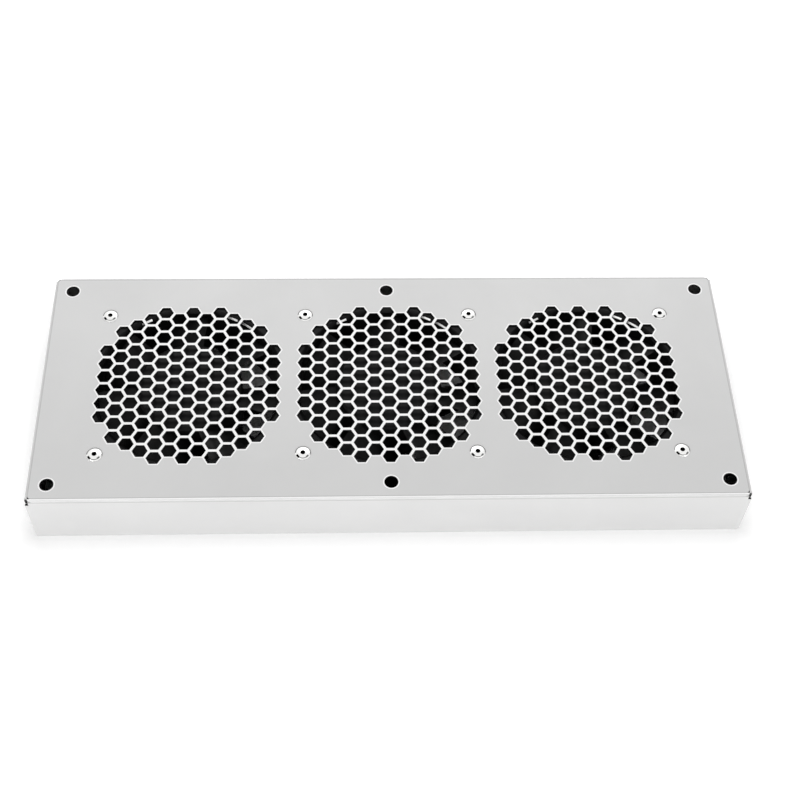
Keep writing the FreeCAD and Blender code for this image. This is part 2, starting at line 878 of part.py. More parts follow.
def build_ties():
    """Ties through the housings' lower corner holes, round the lead that passes outside."""
    master = new_body("tie_master", keep=False)
    inner_y = fan_hole_place - S.tie_thick
    inner_low = plate_under - S.fan_thick - S.free_gap
    inner_high = lane_level + S.lead_size / 2 + S.free_gap
    outer_y = lane_place + S.lead_size / 2 + S.free_gap
    loop = new_sketch(master, "loop_outline", plane="YZ_Plane", offset=-S.tie_width / 2)
    rectangle(loop, inner_y, outer_y + S.tie_thick, inner_low - S.tie_thick, inner_high + S.tie_thick)
    rectangle(loop, inner_y + S.tie_thick, outer_y, inner_low, inner_high)
    band = pad(master, "band", loop, S.tie_width)
    outer_edges = (inner_y, outer_y + S.tie_thick)
    round_off(
        master, "band_corners", band, S.tie_round,
        lambda edge, middle: along(edge, "x") and any(near(middle.y, y) for y in outer_edges),
    )
    head = new_sketch(master, "head_outline", plane="YZ_Plane", offset=-S.tie_head / 2)
    head_y = outer_y + S.tie_thick / 2
    rectangle(
        head, head_y, head_y + S.tie_head_thick,
        lane_level - S.tie_head / 2, lane_level + S.tie_head / 2,
    )
    pad(master, "head", head, S.tie_head)
    repeat("cable_ties", master, [
        (-S.fan_pitch + fan_hole_place, 0, 0),
        (-fan_hole_place, 0, 0),
        (fan_hole_place, 0, 0),
        (S.fan_pitch - fan_hole_place, 0, 0),
        (S.fan_pitch + fan_hole_place, 0, 0),
    ])


# Junction box

def build_box():
    """A moulded box on two studs welded inside the right-hand end flange, open at the bottom."""
    body = new_body("junction_box")
    half, wall = S.box_length / 2, S.box_wall
    outside = new_sketch(body, "box_outline", offset=S.box_level)
    rectangle(outside, box_inner_x, inner_length, -half, half)
    block = pad(body, "box_block", outside, S.box_height)
    round_off(
        body, "box_corners", block, S.box_round,
        lambda edge, middle: near(middle.x, box_inner_x) and along(edge, "z"),
    )
    inside = new_sketch(body, "box_room", offset=S.box_level)
    rectangle(inside, box_inner_x + wall, inner_length - wall, wall - half, half - wall)
    pocket(body, "box_hollow", inside, S.box_height - wall, upward=True)
    posts = new_sketch(body, "post_circles", offset=S.box_level)
    for x, y in lid_screw_places():
        circle(posts, S.lid_screw / 2 + S.post_wall, x, y)
    pad(body, "lid_posts", posts, S.box_height - wall / 2)
    threads = new_sketch(body, "post_holes", offset=S.box_level)
    for x, y in lid_screw_places():
        circle(threads, S.lid_screw / 2 + S.running_gap, x, y)
    pocket(body, "lid_threads", threads, S.lid_screw_length, upward=True)

    rear = new_sketch(body, "rear_entry", plane="XZ_Plane", offset=-half)
    circle(rear, S.lead_size / 2 + S.seat_gap, box_middle_x, lane_level)
    pocket(body, "lead_entry", rear, wall, upward=True)
    front = new_sketch(body, "front_entries", plane="XZ_Plane", offset=half)
    circle(front, bush_radius + S.seat_gap, bush_place, box_middle_level)
    circle(front, S.earth_lead_size / 2 + S.seat_gap, earth_entry, S.earth_level)
    pocket(body, "supply_and_earth_entries", front, wall)
    back = new_sketch(body, "stud_holes", plane="YZ_Plane", offset=inner_length)
    for way in (-1, 1):
        circle(back, S.box_stud / 2 + S.seat_gap, way * S.box_stud_gap / 2, box_middle_level)
    pocket(body, "stud_piercing", back, wall)

    lid = new_body("junction_lid")
    plate = new_sketch(lid, "lid_outline", offset=S.box_level)
    rectangle(plate, box_inner_x, inner_length, -half, half)
    for x, y in lid_screw_places():
        circle(plate, S.lid_screw / 2 + S.seat_gap, x, y)
    lid_pad = pad(lid, "lid_plate", plate, S.lid_thick, upward=False)
    round_off(
        lid, "lid_corners", lid_pad, S.box_round,
        lambda edge, middle: near(middle.x, box_inner_x) and along(edge, "z"),
    )

    screw = new_body("lid_screw_master", keep=False)
    profile = new_sketch(screw, "screw_profile", plane="XZ_Plane")
    outline(profile, [
        (0, -S.lid_screw_head_thick),
        (S.lid_screw_head / 2 - S.free_gap, -S.lid_screw_head_thick),
        (S.lid_screw_head / 2, -S.lid_screw_head_thick / 2),
        (S.lid_screw_head / 2, 0),
        (S.lid_screw / 2, 0),
        (S.lid_screw / 2, S.lid_screw_length),
        (0, S.lid_screw_length),
    ])
    turned("Revolution", screw, "screw_turned", profile)
    lid_face = S.box_level - S.lid_thick
    repeat("lid_screws", screw, [(x, y, lid_face) for x, y in lid_screw_places()])


def lid_screw_places():
    reach = S.box_wall + S.lid_screw / 2
    return [(box_inner_x + reach, way * (S.box_length / 2 - reach)) for way in (-1, 1)]


def standing_out(name, size, length, bore=0, flats=False, keep=True, out=0, y=0, z=0):
    """A round or hexagonal piece on a stud: it starts a distance out from the end flange."""
    body = new_body(name, 0, y, z, keep=keep)
    sketch = new_sketch(body, f"{name}_outline", plane="YZ_Plane", offset=inner_length - out)
    if flats:
        sketch.addGeometry(hexagon(0, 0, term(size).value), False)
    else:
        circle(sketch, size / 2)
    if bore:
        circle(sketch, bore / 2 + S.seat_gap)
    pad(body, f"{name}_pad", sketch, length, upward=False)
    return body


def build_studs_and_nuts():
    places = [(0, way * S.box_stud_gap / 2, box_middle_level) for way in (-1, 1)]
    stud_length = S.box_wall + S.box_nut_thick + S.box_stud / 2
    stud = standing_out("box_stud_master", S.box_stud, stud_length, keep=False)
    repeat("box_studs", stud, places)
    nut = standing_out(
        "box_nut_master", S.box_nut_flats, S.box_nut_thick, S.box_stud,
        flats=True, keep=False, out=S.box_wall,
    )
    repeat("box_nuts", nut, places)


def build_bush():
    """The empty rubber bush that a supply lead passes through."""
    bush = new_body("supply_bush", bush_place, 0, box_middle_level)
    profile = new_sketch(bush, "bush_profile")
    outer, lip = bush_radius, bush_radius + S.bush_lip
    face = -S.box_length / 2
    gap = S.running_gap
    outline(profile, [
        (S.bush_bore / 2, face - gap - S.bush_lip),
        (lip - S.bush_lip / 2, face - gap - S.bush_lip),
        (lip, face - gap - S.bush_lip / 2),
        (lip, face - gap),
        (outer, face - gap),
        (outer, face + S.box_wall + gap),
        (lip, face + S.box_wall + gap),
        (lip, face + S.box_wall + gap + S.bush_lip / 2),
        (S.bush_bore / 2, face + S.box_wall + gap + S.bush_lip / 2),
    ])
    turned("Revolution", bush, "bush_turned", profile)


def build_earth_point():
    at = {"y": S.earth_place, "z": S.earth_level}
    standing_out("earth_stud", S.earth_stud, S.earth_stud_length, **at)
    standing_out(
        "earth_washer", S.earth_washer, S.tag_thick, S.earth_stud, out=S.tag_thick, **at
    )
    standing_out(
        "earth_nut", S.earth_nut_flats, S.earth_nut_thick, S.earth_stud,
        flats=True, out=2 * S.tag_thick, **at
    )

    tag = new_body("earth_tag", 0, S.earth_place, S.earth_level)
    eye = new_sketch(tag, "eye_circle", plane="YZ_Plane", offset=inner_length)
    circle(eye, S.tag_eye / 2)
    pad(tag, "eye", eye, S.tag_thick, upward=False)
    tongue = new_sketch(tag, "tongue_outline", plane="YZ_Plane", offset=inner_length)
    rectangle(tongue, 0, S.tag_reach, -S.tag_barrel / 2, S.tag_barrel / 2)
    pad(tag, "tongue", tongue, S.tag_thick, upward=False)
    barrel = new_sketch(tag, "barrel_circle", plane="XZ_Plane", offset=-S.tag_reach)
    circle(barrel, S.tag_barrel / 2, inner_length - S.tag_barrel / 2, 0)
    pad(tag, "crimp_barrel", barrel, S.tag_reach - S.tag_eye)
    hole = new_sketch(tag, "eye_hole", plane="YZ_Plane", offset=inner_length)
    circle(hole, S.earth_stud / 2 + S.seat_gap)
    pocket(tag, "eye_piercing", hole, S.tag_thick)
    grip = new_sketch(tag, "grip_circle", plane="XZ_Plane", offset=-S.tag_reach)
    circle(grip, S.earth_lead_size / 2 + S.running_gap, inner_length - S.tag_barrel / 2, 0)
    pocket(tag, "lead_grip", grip, S.tag_reach - S.tag_eye - S.tag_thick, upward=True)

    start = S.earth_place + S.tag_eye + 2 * S.tag_thick
    face = -S.box_length / 2
    barrel_x = inner_length - S.tag_barrel / 2
    out_of_barrel = S.earth_place + S.tag_reach + S.earth_lead_size
    tube(
        "earth_lead",
        [
            (barrel_x, start, S.earth_level),
            (barrel_x, out_of_barrel, S.earth_level),
            (earth_entry, face - 2 * S.earth_lead_size, S.earth_level),
            (earth_entry, face + 2 * S.box_wall, S.earth_level),
        ],
        3 * S.earth_lead_size, S.earth_lead_size,
    )


# Blind rivets

def cap_height(radius, rim, height):
    """Height of a dome over its rim at a radius, for a dome of a given rim radius and height."""
    sphere = (rim ** 2 + height ** 2) / (2 * height)
    return math.sqrt(sphere ** 2 - radius ** 2) - (sphere - height)


def build_rivets():
    """Set rivets: a domed shell bulged under the housing's flange, and the mandrel's stub in it."""
    places = [(x, y, S.tray_height) for x, y in rivet_places()]
    hole = (S.mandrel_size / 2 + S.running_gap).value
    rim, shank, bulb = S.rivet_head.value / 2, S.rivet_shank.value / 2, S.rivet_bulb.value / 2
    grip = -rivet_grip.value
    tail = grip - S.bulb_length.value
    edge = S.rivet_rim.value
    crown = S.rivet_dome.value - edge

    shell = new_body("rivet_master", keep=False)
    profile = new_sketch(shell, "rivet_profile", plane="XZ_Plane")
    inner_top = point(hole, edge + cap_height(hole, rim, crown))
    half_way = (hole + rim) / 2
    dome_middle = point(half_way, edge + cap_height(half_way, rim, crown))
    profile.addGeometry([
        Part.Arc(inner_top, dome_middle, point(rim, edge)),
        Part.LineSegment(point(rim, edge), point(rim, 0)),
        Part.LineSegment(point(rim, 0), point(shank, 0)),
        Part.LineSegment(point(shank, 0), point(shank, grip)),
        Part.LineSegment(point(shank, grip), point(bulb, grip)),
        Part.LineSegment(point(bulb, grip), point(bulb, tail)),
        Part.LineSegment(point(bulb, tail), point(hole, tail)),
        Part.LineSegment(point(hole, tail), inner_top),
    ], False)
    turned("Revolution", shell, "rivet_turned", profile)
    repeat("blind_rivets", shell, places)

    stub = new_body("mandrel_master", keep=False)
    core = new_sketch(stub, "mandrel_profile", plane="XZ_Plane")
    break_level = S.rivet_dome - S.mandrel_sink
    tail_level = -(rivet_grip + S.bulb_length)
    outline(core, [
        (0, break_level),
        (S.mandrel_size / 2, break_level),
        (S.mandrel_size / 2, tail_level),
        (S.rivet_shank / 2, tail_level),
        (S.rivet_shank / 2, tail_level - S.mandrel_size / 2),
        (0, tail_level - S.mandrel_size / 2),
    ])
    turned("Revolution", stub, "mandrel_turned", core)
    repeat("rivet_mandrels", stub, places)


def point(x, y):
    return FreeCAD.Vector(x, y, 0)


# The whole tray

build_pan()
for side, step in FANS:
    fan_x = step * S.fan_pitch
    build_housing(side, fan_x)
    build_impeller(side, fan_x)
    build_turning_parts(side, fan_x)
    build_motor(side, fan_x)
    build_terminals(side, fan_x)
build_leads()
build_ties()
build_box()
build_studs_and_nuts()
build_bush()
build_earth_point()
build_rivets()

# Checks and files

doc.recompute()
for item in doc.Objects:
    if "Invalid" in item.State or "Error" in item.State:
        raise RuntimeError(f"{item.Name} failed: {item.State}")
for node in nodes:
    if node.Shape.isNull() or not node.Shape.isValid() or not node.Shape.Solids:
        raise RuntimeError(f"{node.Label} isn't a valid solid")
os.makedirs("parts", exist_ok=True)
for node in nodes:
    node.Shape.exportStep(f"parts/{node.Label}.step")
print(len(nodes), "nodes written")
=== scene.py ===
"""Rack fan tray: a bent sheet pan with three round grilles of hexagons and a fan under each."""

import json
from math import cos, pi, radians, sin, sqrt

import bmesh
import bpy
from bpy.props import FloatProperty, FloatVectorProperty, IntProperty, PointerProperty
from bpy.types import Operator, Panel, PropertyGroup
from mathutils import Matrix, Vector


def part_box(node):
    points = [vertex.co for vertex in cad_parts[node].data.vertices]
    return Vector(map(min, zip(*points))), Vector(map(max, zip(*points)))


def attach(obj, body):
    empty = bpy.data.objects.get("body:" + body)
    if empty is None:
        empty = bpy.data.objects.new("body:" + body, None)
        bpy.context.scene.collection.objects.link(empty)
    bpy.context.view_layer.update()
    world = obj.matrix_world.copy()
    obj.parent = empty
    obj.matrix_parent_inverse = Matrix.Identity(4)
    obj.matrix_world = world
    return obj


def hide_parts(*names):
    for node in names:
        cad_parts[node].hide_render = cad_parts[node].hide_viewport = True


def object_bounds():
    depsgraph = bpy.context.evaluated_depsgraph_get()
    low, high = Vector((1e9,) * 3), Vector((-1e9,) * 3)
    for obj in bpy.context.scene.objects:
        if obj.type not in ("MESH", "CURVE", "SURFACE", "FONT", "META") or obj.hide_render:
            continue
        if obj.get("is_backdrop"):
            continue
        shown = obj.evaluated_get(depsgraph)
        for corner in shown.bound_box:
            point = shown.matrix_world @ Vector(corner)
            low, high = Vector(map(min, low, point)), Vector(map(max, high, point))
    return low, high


bl_info = {
    "name": "Rack fan tray",
    "version": (1, 0, 0),
    "blender": (4, 5, 0),
    "location": "3D View > Sidebar > Fan tray",
    "description": "Dresses the packed fan tray with fine sheet, rivets, impellers and finishes",
    "category": "Object",
}

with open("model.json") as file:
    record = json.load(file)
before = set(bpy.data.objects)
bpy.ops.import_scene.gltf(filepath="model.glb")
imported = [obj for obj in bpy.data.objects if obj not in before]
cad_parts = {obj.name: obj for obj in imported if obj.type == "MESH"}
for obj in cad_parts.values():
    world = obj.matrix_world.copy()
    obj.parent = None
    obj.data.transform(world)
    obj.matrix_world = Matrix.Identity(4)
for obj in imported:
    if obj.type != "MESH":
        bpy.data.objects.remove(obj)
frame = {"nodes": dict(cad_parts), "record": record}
CAD_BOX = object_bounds()

# Places read from the frame

FANS = ("left", "middle", "right")
PAN_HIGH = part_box("tray_shell")[1]
HOUSINGS = {side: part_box(f"{side}_fan_housing") for side in FANS}
IMPELLER_LOW, IMPELLER_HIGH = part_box("middle_impeller")
RIVETS_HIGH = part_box("blind_rivets")[1]
PLATE_TOP = PAN_HIGH.z
PLATE_UNDER = HOUSINGS["middle"][1].z
SHEET = PLATE_TOP - PLATE_UNDER
BOLTS = {mount["name"]: mount["dims"] for mount in frame["record"]["mounts"]}["roof_bolts"]
MOUNT_SPAN, MOUNT_ROW_GAP = BOLTS["spacing_x_mm"] / 1000, BOLTS["spacing_y_mm"] / 1000
MOUNT_RADIUS = BOLTS["hole_r_mm"] / 1000
SLOTS = {row["node"]: row["material_slot"] for row in frame["record"]["subparts"]}


def middle_x(side):
    low, high = HOUSINGS[side]
    return (low.x + high.x) / 2


FAN_PITCH = middle_x("right") - middle_x("middle")

# Numbers that no setting changes. Lengths are in metres. Points nearer than MERGE become one, SLACK
# lets a place on a limit count as inside it, and SKIN is how far off a face its own points may lie.

COS_30 = cos(pi / 6)
MERGE, SLACK, SKIN = 1e-6, 1.0001, 0.00003
COLLAR_ROWS, MOUNT_SIDES, RIVET_HOLE_SIDES = 7, 64, 32
BEND_STEPS, CORNER_STEPS, LIP_STEPS = 12, 8, 6
DOME_STEPS, RIVET_SIDES, RIVET_EDGE, BULB_EDGE = 10, 48, 0.00012, 0.0006
BLADE_SPANS, BLADE_STEPS = 20, 14
HUB_SIDES, HUB_EDGE_STEPS, HUB_LIP = 96, 8, 0.0003
SHARP_ANGLE, BEVEL_ANGLE = radians(40), radians(65)

# The crest of a housing's mouth, and where in degrees round the fan's axis it carries painted glints
CREST_NEAR, CREST_FAR, CREST_DROP = 0.0573, 0.0582, 0.003
GLINT_ARCS = ((49, 57), (61, 68), (117, 124))
GLINT_COLOUR = (0.95, 0.95, 0.94, 1.0)

# The clear layer of the coat, and the painted highlight line on the front bend: its width as a share of
# the bend's radius, and its lightness as a share of the bars' painted highlight
COAT_WEIGHT, RIDGE_WIDTH, RIDGE_HIGHLIGHT_LEVEL = 0.6, 0.5, 0.9

# The painted shade and painted dark reflections on a rivet's head. Turns are in degrees round the
# rivet's axis.
SOFT, TURN_SOFT = 0.0001, 0.2
RIM_INSIDE, RIM_OUTSIDE, RIM_TURN, RIM_SHADE, BORE_SHADE = 0.0006, 0.0005, (-15, 185), 0.8, 0.95
PAINTED_REFLECTIONS = (
    # reach in head radii, its softness, turn, its softness in radians, darkness
    ((0.76, 0.84), SOFT, (-140, -45), 0.1, 0.9),
    ((0.68, 0.94), SOFT, (-160, -124), 0.06, 1.0),
    ((0.66, 0.86), 2 * SOFT, (-58, -28), 0.1, 0.85),
)


# Settings

def angles(degrees):
    return [radians(angle) for angle in degrees]


def number(name, default, description, **limits):
    return FloatProperty(name=name, description=description, default=default, **limits)


def triple(name, default, description, **limits):
    return FloatVectorProperty(name=name, description=description, default=default, size=3, **limits)


def length(name, millimetres, description):
    limits = {"min": 0.0, "precision": 5, "subtype": "DISTANCE", "unit": "LENGTH"}
    return number(name, millimetres / 1000, description, **limits)


def share(name, default, description):
    return number(name, default, description, min=0.0, max=1.0, subtype="FACTOR")


def slope(name, degrees, description):
    return number(name, radians(degrees), description, subtype="ANGLE")


def colour(name, default, description):
    return triple(name, default, description, min=0.0, max=1.0, subtype="COLOR")


class PanSettings(PropertyGroup):
    bend_outside: length("Outside bend", 1.7, "Outside radius of the four bends")
    plate_corner: length("Plate corner", 4.8, "Rounding of the plate's corners, seen from above")
    relief_depth: length("Relief depth", 4.9, "How far down the corner reliefs reach")
    seam_gap: length("Seam gap", 0.4, "Open seam between an end flange and a long one")
    lip_corner: length("Lip corner", 2.0, "Rounding of the flanges' lower corners")
    hex_flats: length("Hexagon width", 8.0, "Width of a hexagon across its flats")
    hex_pitch: length("Hexagon pitch", 10.0, "Distance between hexagons of one column")
    grille_reach: length("Grille reach", 60.0, "Furthest centre of a hexagon from the fan's axis")
    rivet_hole: length("Rivet hole", 5.0, "Width of the holes that the rivets fill")
    hole_edge: length("Hole edge", 0.3, "Rounding of the holes' coated edges")
    sheet_edge: length("Sheet edge", 0.12, "Rounding of the flanges' coated edges")
    # Width of the painted shade lines where a bend starts and ends
    crease: length("Crease", 0.4, "Width of the faint lines where a bend starts and ends")


class RivetSettings(PropertyGroup):
    head: length("Head", 9.5, "Width of the domed head")
    dome: length("Dome", 1.4, "Height of the head over the plate")
    rim: length("Rim", 0.35, "Height of the head's upright rim")
    bore: length("Bore", 2.8, "Width of the hole that the mandrel leaves")
    shank: length("Shank", 4.8, "Width of the shank")
    bulb: length("Bulb", 7.2, "Width of the swollen end under the flange")
    bulb_length: length("Bulb length", 3.6, "Length of the swollen end")
    flange: length("Flange", 4.5, "Thickness of the fan's flange that the rivet grips")


class ImpellerSettings(PropertyGroup):
    blade_count: IntProperty(
        name="Blades", description="Number of blades on each hub", default=7, min=3, max=13,
    )
    hub_size: length("Hub", 66.0, "Width of the hub")
    hub_edge: length("Hub edge", 2.5, "Rounding of the hub's upper edge")
    hub_wall: length("Hub wall", 2.0, "Thickness of the hub's wall and roof")
    boss_size: length("Boss", 11.0, "Width of the boss that holds the shaft")
    boss_length: length("Boss length", 3.0, "How far the boss reaches below the roof")
    root_chord: length("Root chord", 37.0, "Chord of a blade inside the hub")
    tip_chord: length("Tip chord", 53.0, "Chord of a blade beyond its tip")
    root_pitch: slope("Root pitch", 42, "Slope of a blade inside the hub")
    tip_pitch: slope("Tip pitch", 26, "Slope of a blade beyond its tip")
    camber: length("Camber", 3.6, "Height of a blade's curve over its chord")
    blade_thick: length("Blade", 2.0, "Thickness at the middle of a blade")
    blade_edge: length("Blade edge", 0.9, "Thickness at the edges of a blade")
    blade_bury: length("Bury", 6.0, "How far inside the hub's face the first section lies")
    blade_excess: length("Excess", 3.0, "How far outside the tip the last section lies")


class FinishSettings(PropertyGroup):
    coat: colour("Powder coat", (0.60, 0.60, 0.598), "Colour of the tray's coat")
    # Painted highlight: lightness of the coat on the grilles' bars, the rings round the mounting holes
    # and the front bend's line
    bar_level: number("Bars", 1.5, "Lightness of the coat on the grilles' bars", min=0.0)
    # Painted shade on the creases beside the bends
    crease_level: share("Creases", 0.76, "Lightness of the coat where a bend starts and ends")
    # Painted shade: the holes' walls and the corner notches are darkened to near black
    cut_level: share("Cut edges", 0.07, "Lightness of the holes' walls and the corner notches")
    rivet: colour("Rivets", (0.86, 0.86, 0.85), "Colour of the bright rivets")
    blade: colour("Blades", (0.007, 0.007, 0.0073), "Colour of the impellers")
    housing: colour("Housings", (0.006, 0.006, 0.0063), "Colour of the fan housings")


class StudioSettings(PropertyGroup):
    lens: number("Lens", 62.66, "Focal length on a 36 mm wide sensor", min=1.0)
    camera_place: triple(
        "Camera place", (-0.02478, -0.50360, 0.74494), "Where the camera stands",
        subtype="TRANSLATION", unit="LENGTH",
    )
    camera_turn: triple(
        "Camera turn", angles((34.8616, -1.5144, -1.5002)), "How the camera is turned",
        subtype="EULER", unit="ROTATION",
    )
    fill: share("Fill", 0.58, "Level of the even light from all round")


class FanTraySettings(PropertyGroup):
    pan: PointerProperty(type=PanSettings)
    rivets: PointerProperty(type=RivetSettings)
    impeller: PointerProperty(type=ImpellerSettings)
    finish: PointerProperty(type=FinishSettings)
    studio: PointerProperty(type=StudioSettings)


# Node trees

def ahead(operation):
    """A method that adds a Math node whose first value is the flow."""
    return lambda flow, *others: maths(flow.tree, operation, flow, *others)


def behind(operation):
    """A method that adds a Math node whose second value is the flow."""
    return lambda flow, other: maths(flow.tree, operation, other, flow)


class Flow:
    """An output of a node. Sums and comparisons with it add Math nodes to its tree."""

    __add__ = __radd__ = ahead("ADD")
    __mul__ = __rmul__ = ahead("MULTIPLY")
    __sub__, __rsub__ = ahead("SUBTRACT"), behind("SUBTRACT")
    __truediv__, __rtruediv__ = ahead("DIVIDE"), behind("DIVIDE")
    __lt__, __gt__ = ahead("LESS_THAN"), ahead("GREATER_THAN")
    __mod__ = ahead("FLOORED_MODULO")
    __abs__ = ahead("ABSOLUTE")
    least, most = ahead("MINIMUM"), ahead("MAXIMUM")
    rounded, floored, raised = ahead("ROUND"), ahead("FLOOR"), ahead("CEIL")
    sine, cosine, arctan = ahead("SINE"), ahead("COSINE"), ahead("ARCTAN2")
    sign, wrapped = ahead("SIGN"), ahead("WRAP")

    def __init__(self, socket):
        self.socket = socket
        self.tree = socket.id_data

    def to(self, socket):
        self.tree.links.new(self.socket, socket)


def new_node(tree, kind, inputs=None, **settings):
    """A node with its settings made. Each input, by name or number, takes a value or a flow."""
    node = tree.nodes.new(kind)
    for key, value in settings.items():
        setattr(node, key, value)
    for key, value in (inputs or {}).items():
        if isinstance(value, Flow):
            value.to(node.inputs[key])
        else:
            node.inputs[key].default_value = value
    return node


def add(tree, kind, inputs=None, out=0, **settings):
    """Adds a node and gives one of its outputs."""
    return Flow(new_node(tree, kind, inputs, **settings).outputs[out])


def flows(node):
    return {socket.name: Flow(socket) for socket in node.outputs}


def new_tree(name, kind, inputs, outputs):
    """A tree with named sockets, the flows from its inputs and the sockets of its outputs.

    An input is given by its kind, or by the number that it starts at.
    """
    tree = bpy.data.node_groups.new(name, kind)
    for title, start in inputs.items():
        numeric = {float: "Float", int: "Int"}.get(type(start))
        socket_type = f"NodeSocket{numeric or start}"
        socket = tree.interface.new_socket(title, in_out="INPUT", socket_type=socket_type)
        if numeric:
            socket.default_value = start
    for title, output in outputs.items():
        tree.interface.new_socket(title, in_out="OUTPUT", socket_type=f"NodeSocket{output}")
    given = flows(tree.nodes.new("NodeGroupInput"))
    return tree, given, tree.nodes.new("NodeGroupOutput").inputs


def geometry_tree(name, inputs):
    sockets = {"Geometry": "Geometry", **inputs, "Material": "Material"}
    return new_tree(name, "GeometryNodeTree", sockets, {"Geometry": "Geometry"})


def maths(tree, operation, *values):
    return add(tree, "ShaderNodeMath", dict(enumerate(values)), operation=operation)


def vector_maths(tree, operation, inputs, out=0):
    return add(tree, "ShaderNodeVectorMath", inputs, out, operation=operation)


def combined(tree, **parts):
    return add(tree, "ShaderNodeCombineXYZ", parts)


def axes(place):
    return flows(new_node(place.tree, "ShaderNodeSeparateXYZ", {0: place})).values()


def from_axis(x, y):
    """Distance from the Z axis."""
    return vector_maths(x.tree, "LENGTH", {0: combined(x.tree, X=x, Y=y)}, "Value")


def joined(*geometries):
    node = geometries[0].tree.nodes.new("GeometryNodeJoinGeometry")
    for geometry in reversed(geometries):
        geometry.to(node.inputs[0])
    return Flow(node.outputs[0])


def moved(geometry, place):
    inputs = {"Geometry": geometry, "Translation": place}
    return add(geometry.tree, "GeometryNodeTransform", inputs)


def realized(geometry):
    return add(geometry.tree, "GeometryNodeRealizeInstances", {0: geometry})


def flipped(geometry):
    return add(geometry.tree, "GeometryNodeFlipFaces", {0: geometry})


def shaded(geometry, smooth):
    inputs = {"Geometry": geometry, "Shade Smooth": smooth}
    return add(geometry.tree, "GeometryNodeSetShadeSmooth", inputs)


def instanced(points, piece, **more):
    inputs = {"Points": points, "Instance": piece, **more}
    return add(piece.tree, "GeometryNodeInstanceOnPoints", inputs)


def complete(geometry, given, result):
    """Ends a tree: its instances are made real and get their material."""
    inputs = {"Geometry": realized(geometry), "Material": given["Material"]}
    add(geometry.tree, "GeometryNodeSetMaterial", inputs).to(result["Geometry"])


def collar_tree():
    """The wall of one hole with rounded edges, from the plate's top down to its underside."""
    tree, given, result = new_tree(
        "hole_collar", "GeometryNodeTree",
        {"Sides": 6, "Radius": 0.004, "Edge": 0.0002, "Sheet": 0.0012},
        {"Wall": "Geometry", "Rim": "Geometry"},
    )
    inputs = {"Vertices": given["Sides"], "Side Segments": COLLAR_ROWS, "Radius": 1.0, "Depth": 1.0}
    cylinder = add(tree, "GeometryNodeMeshCylinder", inputs, "Mesh", fill_type="NONE")
    place = add(tree, "GeometryNodeInputPosition")
    x, y, height = axes(place)
    row = (height * -COLLAR_ROWS + COLLAR_ROWS / 2).rounded()
    turn = row.least(COLLAR_ROWS - row) * (pi / (COLLAR_ROWS - 1))
    radius = (1.0 - turn.sine()) * given["Edge"] + given["Radius"]
    depth = (1.0 - turn.cosine()) * given["Edge"]
    inputs = {0: row > COLLAR_ROWS / 2, 2: depth * -1.0, 3: depth - given["Sheet"]}
    level = add(tree, "ShaderNodeMix", inputs)
    flat = vector_maths(tree, "NORMALIZE", {0: combined(tree, X=x, Y=y)})
    ring = vector_maths(tree, "SCALE", {0: flat, "Scale": radius})
    place = vector_maths(tree, "ADD", {0: ring, 1: combined(tree, Z=level)})
    wall = add(tree, "GeometryNodeSetPosition", {"Geometry": cylinder, "Position": place})
    flipped(wall).to(result["Wall"])
    inputs = {"Vertices": given["Sides"], "Radius": given["Radius"] + given["Edge"]}
    circle = add(tree, "GeometryNodeMeshCircle", inputs)
    add(tree, "GeometryNodeMeshToCurve", {0: circle}).to(result["Rim"])
    return tree


def hexagon_places(pitch, reach, fan_pitch):
    """Points in staggered columns inside a circle, repeated for each fan."""
    tree = pitch.tree
    gap = pitch * COS_30
    columns = (reach / gap).floored() * 2.0
    rows = (reach / pitch).raised() * 2.0
    grid = add(tree, "GeometryNodeMeshGrid", {
        "Size X": columns * gap, "Size Y": rows * pitch,
        "Vertices X": columns + 1.5, "Vertices Y": rows + 1.5,
    })
    place = add(tree, "GeometryNodeInputPosition")
    x, y, z = axes(place)
    shift = (1.0 - (x / gap).rounded() % 2.0) * (pitch / 2.0)
    inputs = {"Geometry": grid, "Offset": combined(tree, Y=shift)}
    staggered = add(tree, "GeometryNodeSetPosition", inputs)
    inputs = {"Geometry": staggered, "Selection": from_axis(x, y) > reach * SLACK}
    kept = add(tree, "GeometryNodeDeleteGeometry", inputs)
    row = add(tree, "GeometryNodeMeshLine", {
        "Count": len(FANS),
        "Start Location": combined(tree, X=fan_pitch * -1.0),
        "Offset": combined(tree, X=fan_pitch),
    })
    return realized(instanced(row, kept))


